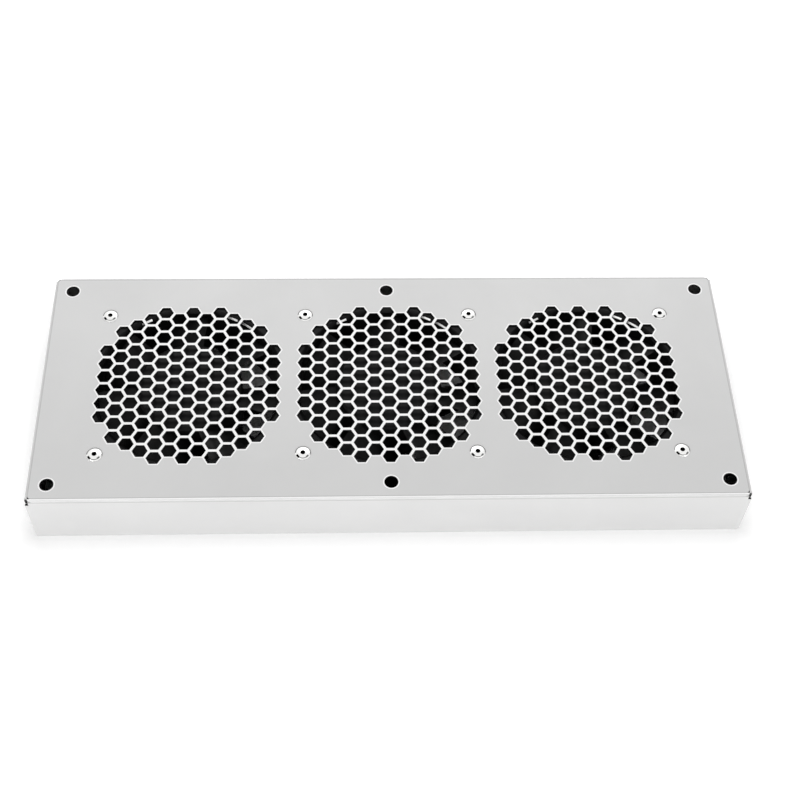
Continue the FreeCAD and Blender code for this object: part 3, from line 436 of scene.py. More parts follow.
def plate_tree():
    """The plate's flat with its hexagons and round holes. Its mesh holds the round holes' places."""
    tree, given, result = geometry_tree("perforated_plate", {
        "Length": 0.4, "Depth": 0.16, "Corner": 0.002, "Sheet": 0.0012, "Level": 0.041,
        "Hexagon": 0.008, "Pitch": 0.01, "Reach": 0.06, "Fan Pitch": 0.124,
        "Mount Radius": 0.004, "Rivet Radius": 0.0025, "Edge": 0.0002,
    })
    mount = add(tree, "GeometryNodeInputNamedAttribute", {"Name": "mount"}, data_type="BOOLEAN")
    rivet = add(tree, "FunctionNodeBooleanMath", {0: mount}, operation="NOT")
    hexagons = hexagon_places(given["Pitch"], given["Reach"], given["Fan Pitch"])
    collar = collar_tree()
    walls, rims = [], []
    for points, selection, sides, radius in (
        (hexagons, True, 6, given["Hexagon"] / (2 * COS_30)),
        (given["Geometry"], mount, MOUNT_SIDES, given["Mount Radius"]),
        (given["Geometry"], rivet, RIVET_HOLE_SIDES, given["Rivet Radius"]),
    ):
        inputs = {"Sides": sides, "Radius": radius, "Edge": given["Edge"], "Sheet": given["Sheet"]}
        hole = flows(new_node(tree, "GeometryNodeGroup", inputs, node_tree=collar))
        for title, batch in (("Wall", walls), ("Rim", rims)):
            batch.append(instanced(points, hole[title], Selection=selection))
    inputs = {"Width": given["Length"], "Height": given["Depth"]}
    border = add(tree, "GeometryNodeCurvePrimitiveQuadrilateral", inputs)
    inputs = {"Curve": border, "Count": CORNER_STEPS, "Radius": given["Corner"]}
    border = add(tree, "GeometryNodeFilletCurve", inputs, mode="POLY")
    sheet = add(tree, "GeometryNodeFillCurve", {"Curve": realized(joined(border, *rims))})
    face = shaded(sheet, False)
    under = flipped(moved(face, combined(tree, Z=given["Sheet"] * -1.0)))
    wall = shaded(realized(joined(*walls)), True)
    whole = moved(joined(face, under, wall), combined(tree, Z=given["Level"]))
    whole = add(tree, "GeometryNodeMergeByDistance", {"Geometry": whole, "Distance": MERGE})
    complete(whole, given, result)
    return tree


def copies_tree():
    """Copies of a piece on each point of the mesh."""
    tree, given, result = geometry_tree("copies_on_points", {"Piece": "Object"})
    piece = add(tree, "GeometryNodeObjectInfo", {"Object": given["Piece"]}, "Geometry")
    complete(instanced(given["Geometry"], piece), given, result)
    return tree


def ring_tree():
    """A mesh with copies of a piece spaced evenly round its Z axis."""
    sockets = {"Piece": "Object", "Count": 7, "Axis Place": "Vector"}
    tree, given, result = geometry_tree("copies_round_axis", sockets)
    piece = add(tree, "GeometryNodeObjectInfo", {"Object": given["Piece"]}, "Geometry")
    inputs = {"Count": given["Count"], "Offset": (0.0, 0.0, 0.0)}
    points = add(tree, "GeometryNodeMeshLine", inputs)
    turn = add(tree, "GeometryNodeInputIndex") * (2 * pi / given["Count"])
    copies = instanced(points, piece, Rotation=combined(tree, Z=turn))
    whole = realized(joined(given["Geometry"], copies))
    complete(moved(whole, given["Axis Place"]), given, result)
    return tree


# Meshes

def new_object(name, mesh):
    piece = bpy.data.objects.new(name, mesh)
    bpy.context.scene.collection.objects.link(piece)
    return piece


def mesh_of(name, build):
    """A mesh made by a function that fills a bmesh, with its doubles merged and faces turned out."""
    mesh = bpy.data.meshes.new(name)
    shape = bmesh.new()
    build(shape)
    bmesh.ops.remove_doubles(shape, verts=shape.verts, dist=MERGE)
    bmesh.ops.recalc_face_normals(shape, faces=shape.faces)
    shape.to_mesh(mesh)
    shape.free()
    return mesh


def plain_mesh(piece):
    """Gives the piece the mesh that its modifiers make, and takes the modifiers off."""
    graph = bpy.context.evaluated_depsgraph_get()
    mesh = bpy.data.meshes.new_from_object(piece.evaluated_get(graph))
    piece.modifiers.clear()
    piece.data = mesh
    return piece


def grow(name, mesh, tree, values):
    """A piece made by a node tree from a mesh and named values."""
    piece = new_object(name, mesh)
    modifier = piece.modifiers.new(tree.name, "NODES")
    modifier.node_group = tree
    for item in tree.interface.items_tree:
        if item.item_type == "SOCKET" and item.in_out == "INPUT" and item.name in values:
            modifier[item.identifier] = values[item.name]
    return plain_mesh(piece)


def points_mesh(name, places):
    mesh = bpy.data.meshes.new(name)
    mesh.from_pydata(places, [], [])
    return mesh


def add_face(shape, corners, smooth=False):
    """A face through the corners. One that repeats counts once, and two make no face."""
    corners = list(dict.fromkeys(corners))
    if len(corners) > 2:
        shape.faces.new(corners).smooth = smooth


def add_strip(shape, first, second, smooth=True, closed=False):
    """Faces between two rows of points."""
    if closed:
        first, second = [*first, first[0]], [*second, second[0]]
    for step in range(len(first) - 1):
        corners = (first[step], first[step + 1], second[step + 1], second[step])
        add_face(shape, corners, smooth)


def quarter(steps):
    """Cosine and sine of the angles from 0 to 90 degrees."""
    for step in range(steps + 1):
        turn = pi / 2 * step / steps
        yield cos(turn), sin(turn)


def lathe(shape, profile, segments, closed=True):
    """Turns a profile of (radius, height) round the Z axis. Points on the axis become poles."""
    turns = [2 * pi * step / segments for step in range(segments)]
    rings = []
    for radius, height in profile:
        if radius == 0:
            rings.append([shape.verts.new((0, 0, height))] * segments)
        else:
            places = [(radius * cos(turn), radius * sin(turn), height) for turn in turns]
            rings.append([shape.verts.new(place) for place in places])
    if closed:
        rings.append(rings[0])
    for first, second in zip(rings, rings[1:]):
        add_strip(shape, first, second, closed=True)


def finish_piece(piece, body, slot, *nodes):
    """Puts a finished piece in place of its CAD nodes."""
    piece.data.set_sharp_from_angle(angle=SHARP_ANGLE)
    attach(piece, body)
    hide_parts(*nodes)


# Pan

def bend_profile(pan):
    """Pairs of (outward, up) on the outer and inner skin of a bend, from where it leaves the plate."""
    for up, out in quarter(BEND_STEPS):
        yield [
            (radius * out, PLATE_TOP - pan.bend_outside + radius * up)
            for radius in (pan.bend_outside, pan.bend_outside - SHEET)
        ]


def add_bend(shape, rows):
    """Faces on both skins of a bend. Each row holds the points of the outer and of the inner one."""
    for upper, lower in zip(rows, rows[1:]):
        for first, second in zip(upper, lower):
            add_strip(shape, first, second)


def bent_side(shape, pan, along, outward, half, half_low, reach):
    """One bend and its flange. The sheet runs from the plate's flat to the lower edge."""

    def at(across, out, up):
        return shape.verts.new(along * across + outward * out + Vector((0, 0, up)))

    start = reach - pan.bend_outside
    half_bend, half_top = half - pan.plate_corner, half - pan.bend_outside
    add_bend(shape, [
        [[at(across, start + out, up) for across in (-half_bend, half_bend)] for out, up in skins]
        for skins in bend_profile(pan)
    ])
    bend_level, step_level = PLATE_TOP - pan.bend_outside, PLATE_TOP - pan.relief_depth
    corner = pan.lip_corner
    edge = [
        (half_bend, bend_level), (half_top, bend_level), (half_top, step_level), (half_low, step_level),
    ] + [
        (half_low - corner + corner * out, corner - corner * down) for out, down in quarter(LIP_STEPS)
    ]
    edge += [(-across, up) for across, up in reversed(edge)]
    skins = [[at(across, out, up) for across, up in edge] for out in (reach, reach - SHEET)]
    for skin in skins:
        add_face(shape, skin)
    add_strip(shape, *skins, smooth=False)


def rounded_corner(shape, pan, way_x, way_y):
    """The bend's sheet drawn round one corner of the plate."""
    centre = PAN_HIGH - Vector((pan.plate_corner, pan.plate_corner, 0))
    flat = pan.plate_corner - pan.bend_outside

    def at(out, up, turn_x, turn_y):
        x, y, z = centre + Vector(((flat + out) * turn_x, (flat + out) * turn_y, 0))
        return shape.verts.new((way_x * x, way_y * y, up))

    rows = [
        [[at(*place, *turn) for turn in quarter(CORNER_STEPS)] for place in skins]
        for skins in bend_profile(pan)
    ]
    add_bend(shape, rows)
    add_strip(shape, *rows[-1], smooth=False)


def build_flanges(shape, pan):
    half_x, half_y = PAN_HIGH.x, PAN_HIGH.y
    low_y = half_y - SHEET - pan.seam_gap
    for way in (-1, 1):
        bent_side(shape, pan, Vector((1, 0, 0)), Vector((0, way, 0)), half_x, half_x, half_y)
        bent_side(shape, pan, Vector((0, 1, 0)), Vector((way, 0, 0)), half_y, low_y, half_x)
        for other_way in (-1, 1):
            rounded_corner(shape, pan, way, other_way)


def rivet_places(rivets):
    """The outer fans are held at their outer corners only, the middle fan at all four."""
    back = RIVETS_HIGH.y - rivets.head / 2
    outer = RIVETS_HIGH.x - rivets.head / 2
    return [
        (way_x * across, way_y * back)
        for across in (outer, outer - FAN_PITCH) for way_x in (-1, 1) for way_y in (-1, 1)
    ]


def mount_places():
    return [
        (way_x * MOUNT_SPAN / 2, way_y * MOUNT_ROW_GAP / 2) for way_x in (-1, 0, 1) for way_y in (-1, 1)
    ]


class TRAY_OT_build_pan(Operator):
    """Builds the bent sheet pan with its three grilles"""

    bl_idname = "tray.build_pan"
    bl_label = "Build pan"

    def execute(self, context):
        settings = context.scene.fan_tray
        pan = settings.pan
        coat = material("pan_coat")
        mounts, rivets = mount_places(), rivet_places(settings.rivets)
        holes = points_mesh("round_hole_places", [(x, y, 0) for x, y in mounts + rivets])
        flags = holes.attributes.new("mount", "BOOLEAN", "POINT")
        flags.data.foreach_set("value", [True] * len(mounts) + [False] * len(rivets))
        plate = grow("plate_flat", holes, plate_tree(), {
            "Length": 2 * (PAN_HIGH.x - pan.bend_outside), "Depth": 2 * (PAN_HIGH.y - pan.bend_outside),
            "Corner": pan.plate_corner - pan.bend_outside, "Sheet": SHEET, "Level": PLATE_TOP,
            "Hexagon": pan.hex_flats, "Pitch": pan.hex_pitch, "Reach": pan.grille_reach,
            "Fan Pitch": FAN_PITCH, "Mount Radius": MOUNT_RADIUS, "Rivet Radius": pan.rivet_hole / 2,
            "Edge": pan.hole_edge, "Material": coat,
        })

        def build(shape):
            shape.from_mesh(plate.data)
            build_flanges(shape, pan)

        piece = new_object("pan", mesh_of("pan", build))
        piece.data.materials.clear()
        piece.data.materials.append(coat)
        bpy.data.objects.remove(plate)
        edges = piece.modifiers.new("sheet_edges", "BEVEL")
        edges.limit_method = "ANGLE"
        edges.angle_limit = BEVEL_ANGLE
        edges.width = pan.sheet_edge
        edges.segments = 2
        plain_mesh(piece)
        finish_piece(piece, "tray", "pan_coat", "tray_shell")
        # Faces square to an axis are shaded flat, so that long ones keep an even tone
        for face in piece.data.polygons:
            if max(abs(part) for part in face.normal) > 0.99999:
                face.use_smooth = False
        return {"FINISHED"}


# Rivets

def rivet_profile(rivets):
    """A set rivet's shell from the bore's mouth over the dome, down the shank and up the bore."""
    sizes = (rivets.bore, rivets.head, rivets.shank, rivets.bulb)
    bore, rim, shank, bulb = (size / 2 for size in sizes)
    rise = rivets.dome - rivets.rim
    sphere = (rim ** 2 + rise ** 2) / (2 * rise)
    dome = []
    for step in range(DOME_STEPS + 1):
        radius = bore + (rim - bore) * step / DOME_STEPS
        dome.append((radius, rivets.dome - sphere + sqrt(sphere ** 2 - radius ** 2)))
    top = dome[0][1]
    dome[0] = (bore + RIVET_EDGE, top)
    grip = -(SHEET + rivets.flange)
    tail = grip - rivets.bulb_length
    return [
        (bore, top - 2 * RIVET_EDGE), (bore + RIVET_EDGE / 3, top - RIVET_EDGE / 2), *dome,
        (rim + RIVET_EDGE / 3, rivets.rim / 2), (rim, 0), (shank, 0), (shank, grip),
        (bulb - BULB_EDGE, grip), (bulb, grip - BULB_EDGE), (bulb, (grip + tail) / 2),
        ((bore + bulb) / 2, tail), (bore, tail),
    ]


class TRAY_OT_build_rivets(Operator):
    """Builds the eight blind rivets"""

    bl_idname = "tray.build_rivets"
    bl_label = "Build rivets"

    def execute(self, context):
        rivets = context.scene.fan_tray.rivets
        places = [(x, y, PLATE_TOP) for x, y in rivet_places(rivets)]
        master = new_object("rivet_master", mesh_of(
            "rivet_master", lambda shape: lathe(shape, rivet_profile(rivets), RIVET_SIDES),
        ))
        piece = grow("rivets", points_mesh("rivets", places), copies_tree(), {
            "Piece": master, "Material": material("rivet_shell"),
        })
        bpy.data.objects.remove(master)
        finish_piece(piece, "tray", "rivet_shell", "blind_rivets")
        return {"FINISHED"}


# Impellers

def blade_ring(fan, radius, tip_radius):
    """Points round a blade's section where it crosses a cylinder about the axis."""
    root = fan.hub_size / 2 - fan.blade_bury
    tip = tip_radius + fan.blade_excess
    middle = (IMPELLER_LOW.z + IMPELLER_HIGH.z) / 2
    around = []
    for step in range(2 * BLADE_STEPS):
        upper = step < BLADE_STEPS
        position = 2 * (step if upper else 2 * BLADE_STEPS - step) / BLADE_STEPS - 1
        bow = 1 - position ** 2
        thick = fan.blade_edge + (fan.blade_thick - fan.blade_edge) * bow
        lift = fan.camber * bow + (thick if upper else -thick) / 2
        across = radius
        for attempt in range(4):
            part = (across - root) / (tip - root)
            run = position * (fan.root_chord + (fan.tip_chord - fan.root_chord) * part) / 2
            pitch = fan.root_pitch + (fan.tip_pitch - fan.root_pitch) * part
            sideways = run * cos(pitch) + lift * sin(pitch)
            height = -run * sin(pitch) + lift * cos(pitch)
            across = sqrt(max(radius ** 2 - sideways ** 2, 1e-9))
        around.append((across, sideways, middle + height))
    return around


def build_blade(shape, fan, tip_radius):
    """A twisted, cambered blade from inside the hub's wall out to its trimmed tip."""
    start = fan.hub_size / 2 - fan.hub_wall / 2
    rings = []
    for span in range(BLADE_SPANS + 1):
        radius = start + (tip_radius - start) * span / BLADE_SPANS
        rings.append([shape.verts.new(place) for place in blade_ring(fan, radius, tip_radius)])
    for first, second in zip(rings, rings[1:]):
        add_strip(shape, first, second, closed=True)
    for ring in (rings[0], rings[-1]):
        for step in range(1, BLADE_STEPS):
            mirror = 2 * BLADE_STEPS - step
            after = (mirror + 1) % len(ring)
            add_face(shape, (ring[step - 1], ring[step], ring[mirror], ring[after]))
        add_face(shape, ring[BLADE_STEPS - 1:BLADE_STEPS + 2])


def hub_profile(fan):
    radius, edge, wall = fan.hub_size / 2, fan.hub_edge, fan.hub_wall
    top, bottom = IMPELLER_HIGH.z, IMPELLER_LOW.z
    roof = top - wall
    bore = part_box("middle_shaft")[1].x
    return [
        (0, top), (radius * 0.5, top), (radius - edge * 1.6, top),
        *((radius - edge + edge * out, top - edge + edge * up) for up, out in quarter(HUB_EDGE_STEPS)),
        (radius, bottom + HUB_LIP), (radius - HUB_LIP, bottom),
        (radius - wall + HUB_LIP, bottom), (radius - wall, bottom + HUB_LIP),
        (radius - wall, roof), (fan.boss_size / 2, roof),
        (fan.boss_size / 2, roof - fan.boss_length), (bore, roof - fan.boss_length),
        (bore, roof), (0, roof),
    ]


class TRAY_OT_build_impellers(Operator):
    """Builds the three impellers"""

    bl_idname = "tray.build_impellers"
    bl_label = "Build impellers"

    def execute(self, context):
        fan = context.scene.fan_tray.impeller
        blade = new_object("blade_master", mesh_of(
            "blade_master", lambda shape: build_blade(shape, fan, IMPELLER_HIGH.x),
        ))
        tree = ring_tree()
        for side in FANS:
            hub = mesh_of(
                f"{side}_hub", lambda shape: lathe(shape, hub_profile(fan), HUB_SIDES, closed=False),
            )
            piece = grow(f"{side}_fan_wheel", hub, tree, {
                "Piece": blade,
                "Count": fan.blade_count,
                "Axis Place": (middle_x(side), 0.0, 0.0),
                "Material": material("fan_blade"),
            })
            finish_piece(piece, f"{side}_rotor", "fan_blade", f"{side}_impeller")
        bpy.data.objects.remove(blade)
        return {"FINISHED"}


# Finishes

def object_place(tree):
    return add(tree, "ShaderNodeTexCoord", out="Object")


def noise(place, size, **more):
    """Noise whose patches are as wide as the size given in metres."""
    return add(place.tree, "ShaderNodeTexNoise", {"Vector": place, "Scale": 1.0 / size, **more})


def bump(height, distance):
    return add(height.tree, "ShaderNodeBump", {"Height": height, "Distance": distance})


def ranged(value, start, end, low=0.0, high=1.0):
    """Low up to the start, high from the end on, and an even slope between."""
    inputs = {"Value": value, "From Min": start, "From Max": end, "To Min": low, "To Max": high}
    return add(value.tree, "ShaderNodeMapRange", inputs)


def fine_grain():
    """Fine relief on a surface. Size and depth are in metres."""
    tree, given, result = new_tree(
        "fine_grain", "ShaderNodeTree",
        {"Grain Size": 0.001, "Depth": 0.00002, "Detail": 2.0}, {"Normal": "Vector"},
    )
    specks = noise(object_place(tree), given["Grain Size"], Detail=given["Detail"], Roughness=0.55)
    bump(specks, given["Depth"]).to(result["Normal"])


def soft_clouds():
    """Soft uneven patches of a colour, as wide as the size given in metres."""
    tree, given, result = new_tree(
        "soft_clouds", "ShaderNodeTree",
        {"Colour": "Color", "Patch Size": 0.05, "Amount": 0.05}, {"Colour": "Color", "Mask": "Float"},
    )
    patches = noise(object_place(tree), given["Patch Size"], Detail=4.0, Roughness=0.6, Distortion=0.4)
    mask = ranged(patches, 0.3, 0.7)
    level = 1.0 - mask * given["Amount"]
    vector_maths(tree, "SCALE", {0: given["Colour"], "Scale": level}).to(result["Colour"])
    mask.to(result["Mask"])


def brush_marks():
    """Fine scratches along one axis, given by how the pattern is stretched."""
    tree, given, result = new_tree(
        "brush_marks", "ShaderNodeTree",
        {"Stretch": "Vector", "Mark Size": 0.0003, "Depth": 0.00001},
        {"Normal": "Vector", "Mask": "Float"},
    )
    stretched = vector_maths(tree, "MULTIPLY", {0: object_place(tree), 1: given["Stretch"]})
    scratches = noise(stretched, given["Mark Size"], Detail=3.0, Roughness=0.6)
    bump(scratches, given["Depth"]).to(result["Normal"])
    scratches.to(result["Mask"])


def shared(tree, build, values):
    """The outputs of a shader group with its values set. The group is built on its first use."""
    name = build.__name__
    if name not in bpy.data.node_groups:
        build()
    node = new_node(tree, "ShaderNodeGroup", values, node_tree=bpy.data.node_groups[name])
    return flows(node)


def grain(tree, size, depth, detail=2.0):
    return shared(tree, fine_grain, {"Grain Size": size, "Depth": depth, "Detail": detail})["Normal"]


def clouds(tree, base, patch, amount):
    values = {"Colour": (*base, 1.0), "Patch Size": patch, "Amount": amount}
    return shared(tree, soft_clouds, values).values()


def brushed(tree, stretch, mark, depth):
    values = {"Stretch": stretch, "Mark Size": mark, "Depth": depth}
    return shared(tree, brush_marks, values).values()


def within(value, low, high):
    """1 where a value lies between two others, else 0."""
    return (value > low) * (value < high)


def band(value, low, high, soft):
    """1 where a value lies between two others, with soft ends."""
    return ranged(value, low - soft, low + soft) * ranged(value, high - soft, high + soft, 1.0, 0.0)


def from_nearest_fan(x):
    """Distance along the tray from the nearest fan's axis."""
    return x - (x / FAN_PITCH).rounded().least(1.0).most(-1.0) * FAN_PITCH


def bar_mask(across, along, pitch, reach):
    """1 on the bars round the hexagons of each grille, out to half a pitch from their centres."""
    gap = pitch * COS_30
    across = from_nearest_fan(across)
    found = []
    for shift_x, shift_y in ((0.0, pitch / 2), (gap, 0.0)):
        x = (across - shift_x).wrapped(gap, -gap)
        y = (along - shift_y).wrapped(pitch / 2, -pitch / 2)
        upright = abs(y)
        slant = upright * 0.5 + abs(x) * COS_30
        near = upright.most(slant) < pitch / 2 * SLACK
        found.append(near * (from_axis(across - x, along - y) < reach * SLACK))
    return found[0].most(found[1])


def mount_ring_mask(x, y, rim):
    """1 in a narrow ring round each mounting hole."""
    across = abs(x)
    across = across.least(abs(across - MOUNT_SPAN / 2))
    return from_axis(across, abs(y) - MOUNT_ROW_GAP / 2) < MOUNT_RADIUS + rim


def sheet_masks(tree, pan):
    """Masks of the sheet: its cut edges and corner notches for painted shade, its bars, mounting rings
    and front bend for painted highlight, and the creases beside the bends for painted shade.
    """
    x, y, z = axes(object_place(tree))
    flat_y = PAN_HIGH.y - pan.bend_outside
    past_x, past_y = abs(x) - (PAN_HIGH.x - pan.bend_outside), abs(y) - flat_y
    past = past_x.most(past_y)
    # Painted shade: the holes' walls and the corner notches are darkened to near black, on bare metal
    wall = (past < -SKIN) * within(z, PLATE_UNDER + SKIN, PLATE_TOP - SKIN)
    corner = past_x.least(past_y) > -pan.crease
    notch = within(z, PLATE_TOP - pan.relief_depth - SKIN, PLATE_TOP - pan.bend_outside / 2)
    shaded_cut = wall.most(corner * notch)
    rim = (pan.hex_pitch - pan.hex_flats) / 2
    # Painted highlight: the bars round the hexagons and a ring round each mounting hole are lit up
    highlights = bar_mask(x, y, pan.hex_pitch, pan.grille_reach).most(mount_ring_mask(x, y, rim))
    highlights = highlights * (z > PLATE_TOP - SKIN)
    bend_level = PLATE_TOP - pan.bend_outside
    # Painted shade: dark lines where each bend starts and ends
    upper = within(past, -pan.crease, pan.crease / 2) * (z > PLATE_TOP - pan.crease)
    lower = (past > SKIN) * within(z, bend_level - 2 * pan.crease, bend_level + pan.crease / 2)
    # Painted highlight: a lighter band along the front bend
    ridge = within(y * -1.0 - flat_y, pan.crease / 2, pan.bend_outside * RIDGE_WIDTH)
    ridge = ridge * (z > bend_level) * RIDGE_HIGHLIGHT_LEVEL
    return shaded_cut, highlights.most(ridge), upper.most(lower)


def new_finish(name, base, values):
    """The tree of a new material, and a function that feeds flows to its shader and gives the material.

    Plain values go on the shader's own sockets.
    """
    finish = bpy.data.materials.new(name)
    finish.use_nodes = True
    shader = finish.node_tree.nodes["Principled BSDF"].inputs
    for title, value in {"Base Color": (*base, 1.0), **values}.items():
        shader[title].default_value = value

    def feed(sources):
        for title, flow in sources.items():
            flow.to(shader[title])
        return finish

    return finish.node_tree, feed


def mixed_colour(mask, first, second):
    """One colour turning into another where a mask rises."""
    return add(mask.tree, "ShaderNodeMix", {0: mask, 6: first, 7: second}, 2, data_type="RGBA")


def tinted(colour, mask, level):
    """A colour scaled to a level where a mask is 1."""
    scale = mask * (level - 1.0) + 1.0
    return vector_maths(mask.tree, "SCALE", {0: colour, "Scale": scale})


def powder_coat(name):
    """Satin coat with painted highlights on the grilles' bars, round the mounting holes and along the
    front bend, painted shade on the creases beside the bends, and bare metal on the sheet's cut edges
    and corner notches darkened to near black as painted shade.
    """
    settings = bpy.context.scene.fan_tray
    look = settings.finish
    tree, feed = new_finish(name, look.coat, {
        "Roughness": 0.4, "Coat Weight": COAT_WEIGHT, "Coat Roughness": 0.18,
    })
    shade, mask = clouds(tree, look.coat, 0.06, 0.045)
    shaded_cut, highlights, crease = sheet_masks(tree, settings.pan)
    # The painted highlights and painted shade from the sheet's masks go into the coat's colour
    for part, level in ((highlights, look.bar_level), (crease, look.crease_level), (shaded_cut, look.cut_level)):
        shade = tinted(shade, part, level)
    return feed({
        "Base Color": shade,
        "Metallic": shaded_cut,
        "Coat Weight": COAT_WEIGHT - shaded_cut * COAT_WEIGHT,
        "Roughness": ranged(mask, 0.0, 1.0, 0.36, 0.46),
        "Normal": grain(tree, 0.0009, 0.000014, 3.0),
    })


def rivet_marks(tree, rivets):
    """1 where a head carries painted shade and painted dark reflections: on the rear half of its rim,
    in its bore, and in marks on its front.
    """
    places = rivet_places(rivets)
    inner, outer = sorted({abs(x) for x, y in places})
    x, y, z = axes(object_place(tree))
    near, far = abs(x) - inner, abs(x) - outer
    across = ((abs(near) < abs(far)) * (near - far) + far) * x.sign()
    along = y - y.sign() * abs(places[0][1])
    reach, turn = from_axis(across, along), along.arctan(across)
    head = rivets.head / 2
    # Painted shade on the rim's rear half and in the bore, and painted dark reflections on the front
    rim = band(reach, head - RIM_INSIDE, head + RIM_OUTSIDE, SOFT)
    rim = rim * band(turn, *angles(RIM_TURN), TURN_SOFT) * RIM_SHADE
    bore = band(reach, -rivets.bore, rivets.bore / 2 + SOFT, SOFT)
    dark = rim.most(bore * BORE_SHADE)
    for (low, high), soft, degrees, turn_soft, depth in PAINTED_REFLECTIONS:
        mark = band(reach, head * low, head * high, soft) * band(turn, *angles(degrees), turn_soft)
        dark = dark.most(mark * depth)
    return dark


def bright_rivet(name):
    """Drawn aluminium, bright on the dome, with painted shade on the rear of its rim and in its bore,
    and painted dark reflections on its front.
    """
    settings = bpy.context.scene.fan_tray
    base = settings.finish.rivet
    tree, feed = new_finish(name, base, {"Roughness": 0.26, "Metallic": 1.0})
    normal, mask = brushed(tree, (1.0, 1.0, 0.2), 0.0004, 0.000006)
    dark = rivet_marks(tree, settings.rivets)
    return feed({
        "Base Color": mixed_colour(dark, (*base, 1.0), (0.0, 0.0, 0.0, 1.0)),
        "Roughness": ranged(mask, 0.0, 1.0, 0.18, 0.36),
        "Normal": normal,
    })


def metal(name, base, low, high):
    tree, feed = new_finish(name, base, {"Roughness": (low + high) / 2, "Metallic": 1.0})
    shade, patches = clouds(tree, base, 0.01, 0.18)
    normal, mask = brushed(tree, (1.0, 1.0, 0.15), 0.0005, 0.000006)
    return feed({
        "Base Color": shade, "Roughness": ranged(mask, 0.0, 1.0, low, high), "Normal": normal,
    })


def moulded(name, base, low, high, size, depth):
    tree, feed = new_finish(name, base, {
        "Roughness": (low + high) / 2, "Specular IOR Level": 0.12,
    })
    shade, mask = clouds(tree, base, 0.02, 0.2)
    return feed({
        "Base Color": shade, "Roughness": ranged(mask, 0.0, 1.0, low, high),
        "Normal": grain(tree, size, depth),
    })


def wave(tree, inputs):
    inputs = {"Vector": object_place(tree), **inputs}
    return add(tree, "ShaderNodeTexWave", inputs, 1, bands_direction="Z")


def copper_turns(name):
    """Wire laid turn by turn round the coils, darker in the grooves between turns as painted shade."""
    base = (0.62, 0.23, 0.08)
    tree, feed = new_finish(name, base, {"Roughness": 0.3, "Metallic": 0.9})
    turns = wave(tree, {"Scale": 480.0, "Distortion": 1.2, "Detail": 2.0, "Detail Scale": 3.0})
    return feed({
        "Base Color": mixed_colour(turns, (0.16, 0.045, 0.015, 1.0), (*base, 1.0)),
        "Normal": bump(turns, 0.00015),
    })


def striped_sleeve(name):
    """Green sleeve with a yellow stripe along it."""
    tree, feed = new_finish(name, (0.05, 0.3, 0.04), {"Roughness": 0.45})
    stripe = ranged(wave(tree, {"Scale": 70.0}), 0.55, 0.6)
    return feed({
        "Base Color": mixed_colour(stripe, (0.04, 0.26, 0.04, 1.0), (0.75, 0.6, 0.04, 1.0)),
        "Normal": grain(tree, 0.0006, 0.00001),
    })


def blade_plastic(name):
    return moulded(name, bpy.context.scene.fan_tray.finish.blade, 0.3, 0.44, 0.0012, 0.000006)


def housing_enamel(name):
    """Black enamel with painted glints: bright metal in a few places on the rear of the mouth's crest,
    where the lamps' highlights fall.
    """
    base = bpy.context.scene.fan_tray.finish.housing
    tree, feed = new_finish(name, base, {
        "Roughness": 0.35, "Specular IOR Level": 0.07, "Coat Weight": 0.03, "Coat Roughness": 0.1,
    })
    x, y, z = axes(object_place(tree))
    x = from_nearest_fan(x)
    # Painted glints: the crest is made bright metal only at the listed turns, where the lamps'
    # highlights fall
    crest = within(from_axis(x, y), CREST_NEAR, CREST_FAR) * (z > PLATE_UNDER - CREST_DROP)
    turn = y.arctan(x)
    first, second, third = (within(turn, *angles(degrees)) for degrees in GLINT_ARCS)
    glint = first.most(second).most(third) * crest
    shade, mask = clouds(tree, base, 0.02, 0.2)
    return feed({
        "Base Color": mixed_colour(glint, shade, GLINT_COLOUR),
        "Metallic": glint,
        "Roughness": ranged(mask, 0.0, 1.0, 0.28, 0.42),
        "Normal": grain(tree, 0.0008, 0.00002),
    })


METALS = {
    # colour, least and greatest roughness
    # rivet_pin is near black: painted shade down in the rivet's bore
    "rivet_pin": ((0.02, 0.02, 0.02), 0.45, 0.6),
    "motor_steel": ((0.5, 0.5, 0.5), 0.25, 0.4),
    "bearing_metal": ((0.55, 0.36, 0.17), 0.35, 0.5),
    "zinc_steel": ((0.66, 0.67, 0.68), 0.22, 0.38),
    "tinned_brass": ((0.7, 0.69, 0.64), 0.22, 0.36),
}
MOULDED = {
    # colour, least and greatest roughness, size and depth of the grain
    "motor_magnet": ((0.05, 0.05, 0.052), 0.5, 0.65, 0.0008, 0.00002),
    "black_plastic": ((0.02, 0.02, 0.021), 0.38, 0.5, 0.0006, 0.00001),
    "lead_sleeve": ((0.018, 0.018, 0.019), 0.4, 0.55, 0.0008, 0.00002),
    "tie_plastic": ((0.72, 0.69, 0.6), 0.35, 0.5, 0.0005, 0.00001),
}
OWN_FINISHES = {
    "pan_coat": powder_coat,
    "rivet_shell": bright_rivet,
    "fan_frame": housing_enamel,
    "fan_blade": blade_plastic,
    "copper_turns": copper_turns,
    "earth_sleeve": striped_sleeve,
}


def material(slot):
    """The finish of a material slot, built on its first use."""
    name = f"{slot}_finish"
    if name in bpy.data.materials:
        return bpy.data.materials[name]
    if slot in METALS:
        return metal(name, *METALS[slot])
    if slot in MOULDED:
        return moulded(name, *MOULDED[slot])
    return OWN_FINISHES[slot](name)


class TRAY_OT_dress_nodes(Operator):
    """Gives every CAD node that stays its finish"""

    bl_idname = "tray.dress_nodes"
    bl_label = "Dress the other pieces"

    def execute(self, context):
        for name, node in frame["nodes"].items():
            for holder in node.material_slots:
                holder.material = material(SLOTS[name])
        return {"FINISHED"}


# Stage

